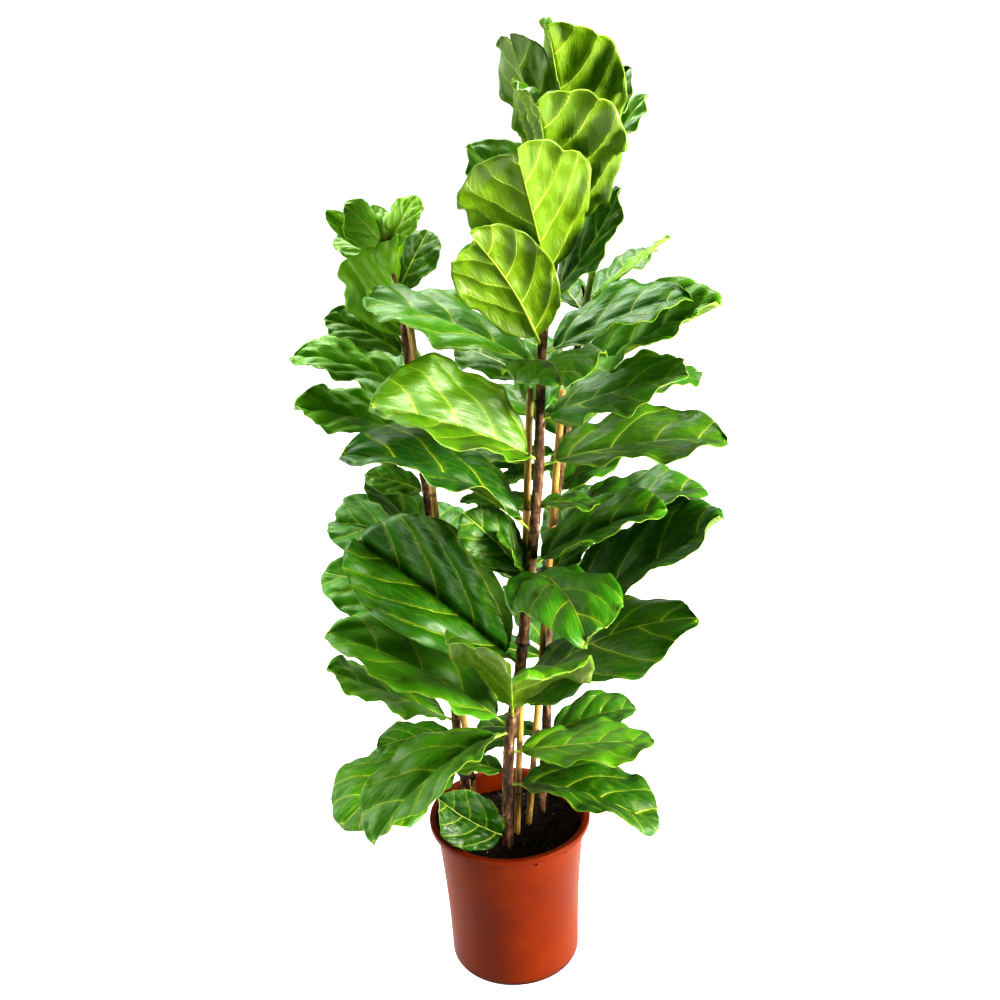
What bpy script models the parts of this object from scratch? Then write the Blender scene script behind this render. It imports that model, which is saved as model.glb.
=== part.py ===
"""A fiddle leaf fig in a plain nursery pot: three leafy stems tied to bamboo canes.
Metres, +Z up; the origin is the centre of the pot's flat underside, and the front is -Y."""

import math

import bmesh
import bpy
import numpy as np
from mathutils import Matrix, Vector

# ---- pot ----
RIM_RADIUS = 0.135
POT_HEIGHT = 0.271
POT_WALL = 0.0022
POT_FLOOR = 0.0035
FLANGE_DROP = 0.010        # how far the rim's turned-down lip reaches
POT_PROFILE = [            # outer radius, height: straight at the foot, flaring to the rim
    (0.1045, 0.0), (0.1080, 0.0016), (0.1093, 0.0055), (0.1120, 0.10), (0.1150, 0.15),
    (0.1190, 0.20), (0.1250, 0.258)]
POT_SIDES = 36
GUSSETS = 14
GUSSET_THICK = 0.0024
GUSSET_DROP = 0.013
GUSSET_TURN = 7            # deg

# ---- soil ----
SOIL_LEVEL = 0.236
SOIL_GAP = 0.0003
SOIL_BUMP = 0.003
HOLE_GAP = 0.0006
HOLE_SIDES = 12

# ---- stems: x, y, z, radius ----
STEM_FRONT = [
    (-0.006, -0.041, 0.1305, 0.0094), (-0.006, -0.041, 0.245, 0.0094),
    (-0.002, -0.044, 0.34, 0.0090), (0.005, -0.045, 0.44, 0.0088), (0.028, -0.045, 0.57, 0.0086),
    (0.040, -0.045, 0.67, 0.0083), (0.055, -0.045, 0.78, 0.0080), (0.068, -0.045, 0.90, 0.0075),
    (0.072, -0.045, 0.99, 0.0069), (0.077, -0.045, 1.08, 0.0064), (0.100, -0.045, 1.21, 0.0057),
    (0.130, -0.043, 1.34, 0.0046), (0.137, -0.042, 1.372, 0.0040), (0.142, -0.042, 1.40, 0.0012)]
STEM_LEFT = [
    (-0.070, 0.055, 0.1305, 0.0080), (-0.070, 0.055, 0.245, 0.0080),
    (-0.083, 0.060, 0.38, 0.0076), (-0.084, 0.068, 0.48, 0.0074), (-0.096, 0.075, 0.66, 0.0070),
    (-0.110, 0.082, 0.85, 0.0064), (-0.126, 0.090, 1.08, 0.0056), (-0.137, 0.092, 1.17, 0.0050),
    (-0.144, 0.095, 1.22, 0.0044), (-0.148, 0.096, 1.25, 0.0012)]
STEM_RIGHT = [
    (0.054, 0.047, 0.1305, 0.0080), (0.054, 0.047, 0.245, 0.0080),
    (0.068, 0.050, 0.39, 0.0076), (0.079, 0.053, 0.65, 0.0074), (0.086, 0.055, 0.74, 0.0073),
    (0.099, 0.060, 0.83, 0.0071), (0.115, 0.062, 0.91, 0.0067), (0.130, 0.065, 0.99, 0.0062),
    (0.135, 0.066, 1.05, 0.0056), (0.150, 0.068, 1.12, 0.0050), (0.160, 0.070, 1.16, 0.0044),
    (0.167, 0.071, 1.19, 0.0012)]
STEM_ROUND = 2             # bevel resolution: 8 sides

# ---- leaves ----
LEAF_THICK = 0.0014
LEAF_STATIONS = 7
SHORT_LEAVES = (0.34, 0.26, 0.20)   # whole lengths under which a leaf has one station fewer
LEAF_COLUMNS = 4
PETIOLE = 0.095            # part of the whole length, taken by the leaf's stalk
PETIOLE_RADIUS = 0.0024
PETIOLE_INTO = 0.045       # how far the stalk reaches into the blade, a part of the length
# the broad outline: place along the blade, share of the widest half-width
OUTLINE = [(0.0, 0.10), (0.03, 0.32), (0.08, 0.50), (0.14, 0.62), (0.22, 0.73), (0.32, 0.84),
           (0.45, 0.95), (0.60, 1.0), (0.70, 0.96), (0.80, 0.85), (0.88, 0.69), (0.94, 0.49),
           (0.98, 0.27), (1.0, 0.06)]
# Each row: height on the stem (m), bearing and rise (deg; bearing 0 is +X, 90 is +Y), whole
# length (m), roll (deg), fold of the left and the right half (deg), arch, tip curl,
# half-width (both as a share of the length), lobe of the left and of the right half
LEAVES_FRONT = [
    (0.252, -157, 44, 0.165, -63, 20, 45, -0.04, 0, 0.33, 0, 0),  # small, at the rim
    (0.355, -20, -8, 0.25, -3, 18, 24, 0.1, -0.02, 0.35, 0, 0),  # low right, hanging over the rim
    (0.375, 160, 4, 0.115, 0, 10, 10, 0.05, 0, 0.31, 0, 0),  # right stem, inward
    (0.415, 1, 2, 0.235, 0, 4, 10, 0.02, -0.02, 0.3, 0, 0),  # low right, level
    (0.454, -139, -13, 0.285, 1, 32, 12, 0.11, -0.02, 0.31, 0, 0),  # hanging, low left
    (0.46, 175, 31, 0.33, -13, 24, 18, 0.06, 0, 0.3, 0, 0),  # long, lower left
    (0.48, -90, 39, 0.36, -8, 19, 33, 0.05, 0, 0.34, 0.03, 0.03),  # to the front, its back showing
    (0.493, -12, 32, 0.337, 14, -3, 0, 0.12, 0, 0.28, 0, 0),  # large, lower right
    (0.572, 156, 33, 0.325, -53, 50, 38, 0.02, 0, 0.4, 0.03, 0),  # the big puckered one, left
    (0.705, -154, 64, 0.11, -20, 12, 12, 0.04, 0, 0.31, 0, 0),  # inner left, small
    (0.718, -178, 51, 0.15, -56, 2, 14, 0.03, 0, 0.29, 0, 0),  # behind the stem, left
    (0.726, -75, 8, 0.26, 1, 2, 3, 0.09, -0.1, 0.31, 0, 0),  # drooping to the front
    (0.741, -2, 23, 0.222, 13, 23, 29, 0.05, 0, 0.3, 0, 0),  # right, rising
    (0.795, -170, 29, 0.315, -11, 26, 24, 0.09, 0, 0.3, 0, 0),  # long, left and forward
    (0.84, 2, -3, 0.095, 0, 8, 8, 0.05, 0, 0.36, 0, 0),  # small, inner right
    (0.902, 3, 5, 0.28, 18, 12, 25, 0.04, -0.02, 0.3, 0, 0),  # long, right, level
    (0.91, -156, 26, 0.28, -42, 38, 30, 0.04, 0, 0.345, 0, 0),  # broad, left
    (0.965, 88, 18, 0.24, 0, 12, 12, 0.06, 0, 0.17, 0, 0),  # back
    (0.973, -28, 22, 0.24, 18, 11, 9, 0.02, -0.02, 0.31, 0, 0),  # right, under the long one
    (1.02, 138, 14, 0.16, -11, 10, 10, 0.05, 0, 0.31, 0, 0),  # behind the long left one
    (1.043, -85, 12, 0.216, 12, 4, 14, 0.09, -0.02, 0.33, 0.03, 0),  # reaching to the front
    (1.045, 172, 24, 0.27, -10, 8, 8, 0.05, 0, 0.3, 0, 0),  # long, left
    (1.066, 2, 20, 0.226, 19, 16, 27, 0.04, -0.03, 0.3, 0, 0),  # long, right
    (1.079, -130, 52, 0.22, 37, 1, 6, 0.05, 0, 0.31, 0.07, -0.02),  # upright, front left
    (1.147, -8, 56, 0.18, 23, 14, 7, -0.05, 0, 0.29, 0, 0),  # dark, upright, right
    (1.165, -102, 43, 0.282, -5, 44, 1, 0.01, 0, 0.33, 0.08, 0.02),  # the big upright one in front
    (1.18, 150, 54, 0.21, 5, 6, 38, 0.09, 0, 0.35, 0.03, 0.03),  # upright, left
    (1.217, -97, 41, 0.305, -6, 19, 56, 0.05, 0, 0.34, 0.08, 0.03),  # upright, facing the front
    (1.25, 14, 52, 0.205, 16, 20, 18, 0.04, 0, 0.22, 0, 0),  # narrow, behind on the right
    (1.3, 15, 59, 0.174, 32, 14, 24, 0.05, 0, 0.28, 0, 0),  # top right, behind
    (1.307, -129, 57, 0.219, -5, 11, 18, -0.04, 0, 0.27, 0.04, 0.04),  # behind the topmost leaf, left
    (1.322, -102, 47, 0.245, -12, 16, 60, 0, 0, 0.36, 0.06, 0),  # topmost, its left half folded back
]
LEAVES_LEFT = [
    (0.34, 30, 12, 0.11, 5, 15, 15, 0.05, 0, 0.31, 0, 0),  # left stem, inward
    (0.36, -136, -3, 0.255, -10, 2, 5, 0.07, -0.02, 0.33, 0, 0),  # left stem, hanging
    (0.394, -160, 2, 0.14, -9, 15, 6, 0.05, 0, 0.3, 0, 0),  # left stem, small, low
    (0.413, -166, 33, 0.248, -8, 16, 4, 0.01, 0, 0.3, 0, 0),  # left stem, low
    (0.47, 120, 10, 0.27, 0, 12, 12, 0.06, 0, 0.31, 0, 0),  # back
    (0.605, 164, 17, 0.216, -29, 7, 16, 0.06, 0, 0.32, 0, 0),  # left stem, left
    (0.66, 95, 13, 0.23, 0, 12, 12, 0.06, 0, 0.31, 0, 0),  # back
    (0.7, 154, 48, 0.185, -6, 27, 11, 0.04, 0, 0.32, 0, 0),  # left stem, behind the puckered one
    (0.715, 142, 3, 0.223, -49, 30, 40, 0.05, 0, 0.28, 0, 0),  # left stem, curled
    (0.82, 175, 18, 0.1, -30, 10, 10, 0.05, 0, 0.31, 0, 0),  # left stem, behind
    (0.82, 25, 14, 0.19, 10, 10, 10, 0.05, 0, 0.31, 0, 0),  # left stem, inward
    (0.905, -161, 23, 0.205, -21, 14, 16, 0.05, 0, 0.31, 0, 0),  # left stem, left
    (0.92, 115, 25, 0.22, 0, 12, 12, 0.06, 0, 0.31, 0, 0),  # back
    (0.982, -179, 21, 0.19, -17, 19, 22, 0.06, 0, 0.32, 0, 0),  # left stem, left
    (1.037, -179, 29, 0.14, -26, 12, 17, 0.07, 0, 0.32, 0, 0),  # left stem, left
    (1.06, -172, 92, 0.162, 3, -93, -2, -0.07, 0, 0.47, 0, 0),  # left stem, facing the front
    (1.135, 47, 49, 0.114, 16, 4, 0, 0.02, 0, 0.34, 0, 0),  # left stem, right
    (1.18, 152, 23, 0.1, -23, 7, 3, 0.04, 0, 0.33, 0, 0),  # left stem top
    (1.19, -178, 41, 0.115, -85, 32, 50, 0.02, 0, 0.2, 0, 0),  # left stem top, on edge
    (1.197, -154, 52, 0.1, -50, -15, 8, 0.04, 0, 0.35, 0, 0),  # left stem top
    (1.197, 24, 58, 0.095, 30, 2, 6, 0.05, 0, 0.32, 0, 0),  # left stem top
    (1.21, 115, 43, 0.075, 0, 10, 10, 0.04, 0, 0.33, 0, 0),  # left stem top
    (0.45, 6, 2, 0.135, 0, 10, 10, 0.05, 0, 0.33, 0, 0),  # left stem, inward, low
]
LEAVES_RIGHT = [
    (0.382, 9, 12, 0.16, 13, 17, 20, 0.07, 0, 0.31, 0, 0),  # low right, behind
    (0.52, 80, 15, 0.28, 0, 12, 12, 0.06, 0, 0.31, 0, 0),  # back
    (0.62, -14, 32, 0.325, 18, 32, 30, -0.04, 0, 0.29, 0, 0),  # large, right, rising
    (0.67, 60, 18, 0.13, 0, 12, 12, 0.05, 0, 0.31, 0, 0),  # right, behind
    (0.7, 58, 18, 0.2, 0, 12, 12, 0.06, 0, 0.31, 0, 0),  # back
    (0.737, 12, 13, 0.265, 6, 16, 23, 0.05, -0.02, 0.31, 0, 0),  # right, rising
    (0.81, 55, 13, 0.2, 8, 15, 15, 0.05, 0, 0.31, 0, 0),  # right, behind
    (0.89, 88, 20, 0.26, 0, 12, 12, 0.06, 0, 0.31, 0, 0),  # back
    (0.93, 150, 10, 0.17, 0, 10, 10, 0.05, 0, 0.31, 0, 0),  # right stem, behind the front stem
    (0.98, 19, 1, 0.213, 4, 6, 3, 0.04, 0, 0.31, 0, 0),  # right, behind
    (0.997, -32, 30, 0.268, 30, 29, 30, 0.01, 0, 0.31, 0, 0),  # long, right and forward
    (1.11, -5, 38, 0.16, 0, 14, 14, 0.02, 0, 0.17, 0, 0),  # youngest, right stem
    (1.118, 46, 19, 0.165, -10, 5, 14, 0.01, 0, 0.31, 0, 0),  # upper right, behind
    (1.15, 120, 55, 0.14, 0, 15, 15, 0.04, 0, 0.31, 0, 0),  # young, behind
    (0.385, 168, 4, 0.12, 0, 10, 10, 0.05, 0, 0.33, 0, 0),  # right stem, inward, low
    (0.53, 172, 10, 0.14, 0, 10, 10, 0.04, 0, 0.31, 0, 0),  # right stem, inward, lower
    (0.79, 172, 6, 0.15, 0, 10, 10, 0.04, 0, 0.31, 0, 0),  # right stem, inward, middle
    (0.86, 196, -6, 0.1, 0, 10, 10, 0.05, 0, 0.36, 0, 0),  # right stem, inward, small
    (0.88, 170, -4, 0.15, 0, 10, 10, 0.04, 0, 0.31, 0, 0),  # right stem, inward
    (1.1, 110, 16, 0.12, 0, 10, 10, 0.05, 0, 0.31, 0, 0),  # right stem, inward, high
]

# ---- canes: foot, top, radius ----
CANE_FRONT = ((0.0040, -0.0110, 0.1303), (0.0590, -0.0280, 1.015), 0.0055)
CANE_LEFT = ((-0.050, 0.0430, 0.1303), (-0.114, 0.0550, 1.105), 0.0055)
CANE_RIGHT = ((0.0210, 0.0190, 0.1303), (0.109, -0.0070, 1.02), 0.0055)
CANE_ROUND = 3             # bevel resolution: 10 sides
CANE_KNOTS = 0.17          # from one knot to the next
KNOT_FIRST = 0.19
KNOT_HALF = 0.004
KNOT_SWELL = 0.0006

# ---- ties: black wire pulled round a stem and its canes ----
TIE_WIRE = 0.0012
TIE_CLEAR = 0.0007
TIE_POINTS = 15
# name, height, stem, canes
TIES = [("tie_front_upper", 0.715, "front", ("front", "right")),
        ("tie_front_lower", 0.613, "front", ("front",)),
        ("tie_left_upper", 0.63, "left", ("left",)),
        ("tie_left_lower", 0.315, "left", ("left",))]
STEMS = {"front": STEM_FRONT, "left": STEM_LEFT, "right": STEM_RIGHT}
LEAVES = {"front": LEAVES_FRONT, "left": LEAVES_LEFT, "right": LEAVES_RIGHT}
CANES = {"front": CANE_FRONT, "left": CANE_LEFT, "right": CANE_RIGHT}


def smooth(path, z):
    """Point and radius on a stem at a height."""
    a = np.array(path)
    return np.array([np.interp(z, a[:, 2], a[:, i]) for i in range(4)])


def leaf_frame(bearing, rise, roll):
    """Along, across before the roll, up before the roll, across, up."""
    a, r, q = (math.radians(v) for v in (bearing, rise, roll))
    along = np.array([math.cos(r) * math.cos(a), math.cos(r) * math.sin(a), math.sin(r)])
    side = np.array([-math.sin(a), math.cos(a), 0.0])
    up = np.cross(along, side)
    return (along, up, math.cos(q) * side + math.sin(q) * up,
            -math.sin(q) * side + math.cos(q) * up)


def midrib(row, base, t):
    height, bearing, rise, length, roll, fold_a, fold_b, arch, curl, wide, lobe_a, lobe_b = row
    along, up, _, _ = leaf_frame(bearing, rise, roll)
    t = np.asarray(t, float)
    lift = arch * 4 * t * (1 - t) + curl * np.clip((t - 0.7) / 0.3, 0, 1) ** 2
    return base + length * (t[..., None] * along + lift[..., None] * up)


def blade(row, base, seed, u, v):
    """Points of the blade's middle surface: u runs from its foot to its tip, v from -1 to 1."""
    height, bearing, rise, length, roll, fold_a, fold_b, arch, curl, wide, lobe_a, lobe_b = row
    _, _, side, up = leaf_frame(bearing, rise, roll)
    left = v >= 0
    lobe = np.where(left, lobe_a, lobe_b) * np.abs(v) ** 1.3 * np.clip((u - 0.35) / 0.6, 0, 1) ** 2
    t = PETIOLE + (1 - PETIOLE) * u
    table = np.array(OUTLINE)
    half = wide * length
    reach = np.abs(v) * half * np.interp(u, table[:, 0], table[:, 1])
    fold = np.radians(np.where(left, fold_a, fold_b))
    wave = (0.10 * half * np.abs(v) ** 2.2 * np.clip(4 * u, 0, 1)
            * np.sin(2 * math.pi * 2.3 * u + 1.7 * seed + np.where(left, 0.0, 1.9)))
    cup = -0.12 * reach ** 2 / half
    along = leaf_frame(bearing, rise, roll)[0]
    return (midrib(row, base, t) + (lobe * length)[..., None] * along
            + side * (np.sign(v) * reach * np.cos(fold))[..., None]
            + up * (reach * np.sin(fold) + wave + cup)[..., None])


def soil_height(x, y):
    """Height of the uneven soil."""
    return SOIL_LEVEL + SOIL_BUMP * (
        0.6 * math.sin(61 * x + 1.0) * math.cos(47 * y + 0.4) + 0.4 * math.sin(140 * x - 90 * y))


def inner_profile():
    """The pot's inside, from its rim down: the outside moved in by the wall."""
    return [(r - POT_WALL, z) for r, z in reversed(POT_PROFILE) if z > POT_FLOOR]


def cane_at(cane, height):
    foot, top, radius = cane
    share = (height - foot[2]) / (top[2] - foot[2])
    return (foot[0] + share * (top[0] - foot[0]), foot[1] + share * (top[1] - foot[1]), radius)


def stem_at(path, height):
    x, y, _, r = smooth(path, height)
    return (x, y, r)


def loop_round(uprights, height):
    """Centres of a wire pulled round upright rods (x, y, radius), level at a height."""
    centres = []
    for n in range(TIE_POINTS):
        angle = 2 * math.pi * n / TIE_POINTS
        away = (math.cos(angle), math.sin(angle))
        x, y, r = max(uprights, key=lambda rod: rod[0] * away[0] + rod[1] * away[1] + rod[2])
        reach = r + TIE_CLEAR + TIE_WIRE
        centres.append((x + reach * away[0], y + reach * away[1], height))
    return centres


# ---- build ----


def clear_scene():
    for obj in list(bpy.data.objects):
        bpy.data.objects.remove(obj, do_unlink=True)


def new_collection(name):
    group = bpy.data.collections.new(name)
    bpy.context.scene.collection.children.link(group)
    return group


def new_material(name, colour, roughness):
    material = bpy.data.materials.new(name)
    material.use_nodes = True
    shader = material.node_tree.nodes["Principled BSDF"]
    shader.inputs["Base Color"].default_value = (*colour, 1)
    shader.inputs["Roughness"].default_value = roughness
    material.diffuse_color = (*colour, 1)
    return material


def new_object(name, data, material, group):
    data.materials.append(material)
    obj = bpy.data.objects.new(name, data)
    group.objects.link(obj)
    return obj


def evaluated_mesh(obj):
    bpy.context.view_layer.update()
    graph = bpy.context.evaluated_depsgraph_get()
    return bpy.data.meshes.new_from_object(obj.evaluated_get(graph))


def apply_modifiers(obj):
    mesh = evaluated_mesh(obj)
    obj.modifiers.clear()
    old = obj.data
    obj.data = mesh
    bpy.data.meshes.remove(old)
    mesh.name = obj.name


def smooth_shade(obj):
    obj.data.shade_smooth()
    obj.data.set_sharp_from_angle(angle=math.radians(40))


def turned(name, profile, steps, material, group):
    """A profile of (radius, height) turned about Z; it runs down its outer side."""
    mesh = bpy.data.meshes.new(name)
    mesh.from_pydata([(r, 0, z) for r, z in profile],
                     [(n, n + 1) for n in range(len(profile) - 1)], [])
    obj = new_object(name, mesh, material, group)
    screw = obj.modifiers.new("turn", "SCREW")
    screw.steps = steps
    screw.render_steps = steps
    screw.use_merge_vertices = True
    screw.merge_threshold = 0.00001
    return obj


def rod(name, centres, radii, rounding, material, group, cyclic=False):
    """A tube through a line of points, made a closed mesh so that Booleans can use it."""
    curve = bpy.data.curves.new(name, "CURVE")
    curve.dimensions = "3D"
    curve.bevel_depth = 1
    curve.bevel_resolution = rounding
    curve.use_fill_caps = not cyclic
    spline = curve.splines.new("POLY")
    spline.points.add(len(centres) - 1)
    spline.use_cyclic_u = cyclic
    for point, centre, radius in zip(spline.points, centres, radii):
        point.co = (*map(float, centre), 1)
        point.radius = float(radius)
    drawn = bpy.data.objects.new(name + "_curve", curve)
    group.objects.link(drawn)
    mesh = evaluated_mesh(drawn)
    bpy.data.objects.remove(drawn, do_unlink=True)
    weld = bmesh.new()
    weld.from_mesh(mesh)
    bmesh.ops.remove_doubles(weld, verts=weld.verts, dist=0.00001)
    bmesh.ops.recalc_face_normals(weld, faces=weld.faces)
    weld.to_mesh(mesh)
    weld.free()
    mesh.name = name
    mesh.materials.clear()
    return new_object(name, mesh, material, group)


def add_hole(name, foot, top, radius, group):
    """A round cutter along a stem or a cane, from just under its foot to above the soil."""
    foot, top = Vector(foot), Vector(top)
    way = (top - foot).normalized()
    foot = foot - way * HOLE_GAP
    length = (SOIL_LEVEL + 0.03 - foot.z) / way.z
    turn = way.to_track_quat("Z", "Y").to_matrix().to_4x4()
    mesh = bpy.data.meshes.new(name)
    cylinder = bmesh.new()
    bmesh.ops.create_cone(
        cylinder, cap_ends=True, segments=HOLE_SIDES, radius1=radius + HOLE_GAP,
        radius2=radius + HOLE_GAP, depth=length,
        matrix=Matrix.Translation(foot + way * length / 2) @ turn)
    cylinder.to_mesh(mesh)
    cylinder.free()
    obj = new_object(name, mesh, MATERIALS["cutter"], group)
    obj.hide_render = True
    obj.display_type = "WIRE"


def add_boolean(obj, operation, group, solver="EXACT"):
    boolean = obj.modifiers.new(operation.lower(), "BOOLEAN")
    boolean.operation = operation
    boolean.operand_type = "COLLECTION"
    boolean.collection = group
    boolean.solver = solver


def fuse(obj, group, solver="EXACT"):
    """Joins everything in a collection to an object, then removes the loose pieces."""
    add_boolean(obj, "UNION", group, solver)
    apply_modifiers(obj)
    for piece in list(group.objects):
        bpy.data.objects.remove(piece, do_unlink=True)
    bpy.data.collections.remove(group)
    smooth_shade(obj)


def add_pot(group):
    top = POT_HEIGHT
    inside = [(0, POT_FLOOR), (0.1030, POT_FLOOR)] + inner_profile()[::-1]
    rim = [(0.1236, top - 0.0018), (0.1246, top), (RIM_RADIUS - 0.0008, top),
           (RIM_RADIUS, top - 0.0020), (RIM_RADIUS - 0.0003, top - FLANGE_DROP),
           (RIM_RADIUS - 0.0022, top - FLANGE_DROP), (RIM_RADIUS - 0.0022, top - 0.0026),
           (0.1256, top - 0.0026)]
    pot = turned("pot", inside + rim + POT_PROFILE[::-1] + [(0, 0)], POT_SIDES,
                 MATERIALS["pot"], group)
    gussets = new_collection("gussets")
    under = top - FLANGE_DROP + 0.0008
    foot = under - GUSSET_DROP
    outline = [(0.1232, under), (0.1226, foot), (0.1252, foot),
               (RIM_RADIUS - 0.0012, under - 0.0016), (RIM_RADIUS - 0.0012, under)]
    for n in range(GUSSETS):
        mesh = bpy.data.meshes.new("gusset_%02d" % n)
        mesh.from_pydata([(r, 0, z) for r, z in outline], [], [tuple(range(len(outline)))])
        gusset = new_object(mesh.name, mesh, MATERIALS["pot"], gussets)
        gusset.rotation_euler.z = 2 * math.pi * (n + 0.5) / GUSSETS - math.radians(GUSSET_TURN)
        plate = gusset.modifiers.new("plate", "SOLIDIFY")
        plate.thickness = GUSSET_THICK
        plate.offset = 0
    fuse(pot, gussets)


def add_soil(group, cutters):
    """The potting mix: it fills the pot, with a plain hole for each stem and cane."""
    wall = [(r - SOIL_GAP, z) for r, z in inner_profile() if z < SOIL_LEVEL - 0.002]
    heights, radii = zip(*((z, r) for r, z in reversed(inner_profile())))
    edge = float(np.interp(SOIL_LEVEL, heights, radii)) - SOIL_GAP
    under = POT_FLOOR + SOIL_GAP
    profile = [(edge * share, SOIL_LEVEL) for share in (0, 0.2, 0.4, 0.6, 0.8, 1)]
    soil = turned("soil", profile + wall + [(0.1022, under), (0, under)], POT_SIDES,
                  MATERIALS["soil"], group)
    apply_modifiers(soil)
    for vertex in soil.data.vertices:
        x, y, z = vertex.co
        if z > SOIL_LEVEL - 1e-5:
            share = 0.4 if math.hypot(x, y) > edge * 0.95 else 1
            vertex.co.z = SOIL_LEVEL + share * (soil_height(x, y) - SOIL_LEVEL)
    for name, path in STEMS.items():
        add_hole("hole_stem_" + name, path[0][:3], path[1][:3], path[0][3], cutters)
    for name, (foot, top, radius) in CANES.items():
        add_hole("hole_cane_" + name, foot, top, radius, cutters)
    add_boolean(soil, "DIFFERENCE", cutters)
    smooth_shade(soil)


def add_blade(name, path, row, seed, group):
    """One leaf's blade: a grid bent to the leaf's form, then given its thickness."""
    stations = LEAF_STATIONS - sum(row[3] < limit for limit in SHORT_LEAVES)
    grid = bmesh.new()
    bmesh.ops.create_grid(grid, x_segments=stations, y_segments=LEAF_COLUMNS, size=1)
    u = np.array([(vertex.co.x + 1) / 2 for vertex in grid.verts]) ** 0.92
    v = np.array([vertex.co.y for vertex in grid.verts])
    for vertex, point in zip(grid.verts, blade(row, smooth(path, row[0])[:3], seed, u, v)):
        vertex.co = point
    bmesh.ops.triangulate(grid, faces=grid.faces)
    mesh = bpy.data.meshes.new(name)
    grid.to_mesh(mesh)
    grid.free()
    leaf = new_object(name, mesh, MATERIALS["leaf"], group)
    thick = leaf.modifiers.new("thickness", "SOLIDIFY")
    thick.thickness = LEAF_THICK
    thick.offset = 0


def add_leafy_stem(name, path, rows, group):
    """A stem with all its leaves, each rooted in the stem's middle, fused into one solid."""
    points = np.array(path)
    stem = rod("leafy_stem_" + name, points[:, :3], points[:, 3], STEM_ROUND,
               MATERIALS["leaf"], group)
    loose = new_collection("leaves_" + name)
    for n, row in enumerate(rows):
        add_blade("blade_%s_%02d" % (name, n), path, row, n, loose)
        stalk = midrib(row, smooth(path, row[0])[:3],
                       np.array([0.0, 0.6 * PETIOLE, PETIOLE + PETIOLE_INTO]))
        girth = PETIOLE_RADIUS * min(1.0, row[3] / 0.2)
        rod("stalk_%s_%02d" % (name, n), stalk, [girth * 1.15, girth, girth * 0.85], 0,
            MATERIALS["leaf"], loose)
    fuse(stem, loose, "MANIFOLD")


def add_cane(name, foot, top, radius, group):
    """A bamboo cane with a swollen ring at each knot."""
    foot, top = Vector(foot), Vector(top)
    length = (top - foot).length
    places, radii = [0.0], [radius]
    knot = KNOT_FIRST
    while knot < length - 0.03:
        places += [knot - KNOT_HALF, knot, knot + KNOT_HALF]
        radii += [radius, radius + KNOT_SWELL, radius]
        knot += CANE_KNOTS
    places.append(length)
    radii.append(radius * 0.96)
    cane = rod("cane_" + name, [foot.lerp(top, place / length) for place in places], radii,
               CANE_ROUND, MATERIALS["cane"], group)
    smooth_shade(cane)


clear_scene()
MATERIALS = {
    "pot": new_material("terracotta_plastic", (0.46, 0.085, 0.028), 0.45),
    "soil": new_material("potting_mix", (0.030, 0.018, 0.011), 0.95),
    "leaf": new_material("leaf_green", (0.045, 0.22, 0.02), 0.4),
    "cane": new_material("bamboo", (0.62, 0.42, 0.13), 0.5),
    "tie": new_material("black_wire", (0.015, 0.015, 0.015), 0.5),
    "cutter": new_material("cutter", (0.8, 0.1, 0.1), 0.5)}
plant = new_collection("fiddle_leaf_fig")
cutters = new_collection("cutters")
cutters.hide_render = True
add_pot(plant)
add_soil(plant, cutters)
for name, path in STEMS.items():
    add_leafy_stem(name, path, LEAVES[name], plant)
for name, (foot, top, radius) in CANES.items():
    add_cane(name, foot, top, radius, plant)
for name, height, stem, canes in TIES:
    held = [stem_at(STEMS[stem], height)] + [cane_at(CANES[cane], height) for cane in canes]
    rod(name, loop_round(held, height), [TIE_WIRE] * TIE_POINTS, 1, MATERIALS["tie"], plant,
        cyclic=True)
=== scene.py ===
import math
import bpy
import numpy as np
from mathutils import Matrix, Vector, noise


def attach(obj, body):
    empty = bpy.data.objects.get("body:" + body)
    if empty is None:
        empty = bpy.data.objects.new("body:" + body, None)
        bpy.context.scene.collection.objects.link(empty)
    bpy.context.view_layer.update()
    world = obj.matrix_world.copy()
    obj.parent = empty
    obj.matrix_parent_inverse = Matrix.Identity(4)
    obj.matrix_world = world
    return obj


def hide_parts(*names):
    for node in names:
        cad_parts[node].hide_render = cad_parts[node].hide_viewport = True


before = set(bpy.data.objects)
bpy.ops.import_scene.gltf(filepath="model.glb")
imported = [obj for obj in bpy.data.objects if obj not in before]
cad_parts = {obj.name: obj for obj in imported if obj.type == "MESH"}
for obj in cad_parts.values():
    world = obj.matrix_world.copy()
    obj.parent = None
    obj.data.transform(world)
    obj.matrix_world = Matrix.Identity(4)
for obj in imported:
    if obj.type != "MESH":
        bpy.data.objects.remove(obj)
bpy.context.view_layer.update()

print("frame loaded:", len(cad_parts), "nodes")


# colours, nodes and pieces

def linearTone(code):  # sRGB hex to the linear values that a shader wants
    values = [int(code[n:n + 2], 16) / 255 for n in (1, 3, 5)]
    return [v / 12.92 if v <= 0.04045 else ((v + 0.055) / 1.055) ** 2.4 for v in values] + [1.0]


def addNode(tree, kind, settings=None, links=None):
    node = tree.nodes.new(kind)
    for key, value in (settings or {}).items():
        if key == "stops":  # a ramp's (place, colour) pairs
            elements = node.color_ramp.elements
            while len(elements) < len(value):
                elements.new(0.5)
            for element, (place, colour) in zip(elements, value):
                element.position = place
                element.color = linearTone(colour)
        elif isinstance(key, str) and hasattr(node, key):
            setattr(node, key, value)
        else:
            if isinstance(value, str):
                value = linearTone(value)
            node.inputs[key].default_value = value
    for key, socket in (links or {}).items():
        tree.links.new(socket, node.inputs[key])
    return node


def newMaterial(name):
    material = bpy.data.materials.new(name)
    material.use_nodes = True
    material.node_tree.nodes.clear()
    return material, material.node_tree


def place(piece, node, slotName):  # every piece rides on the one body
    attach(piece, "root")
    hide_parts(node)
    return piece


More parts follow.
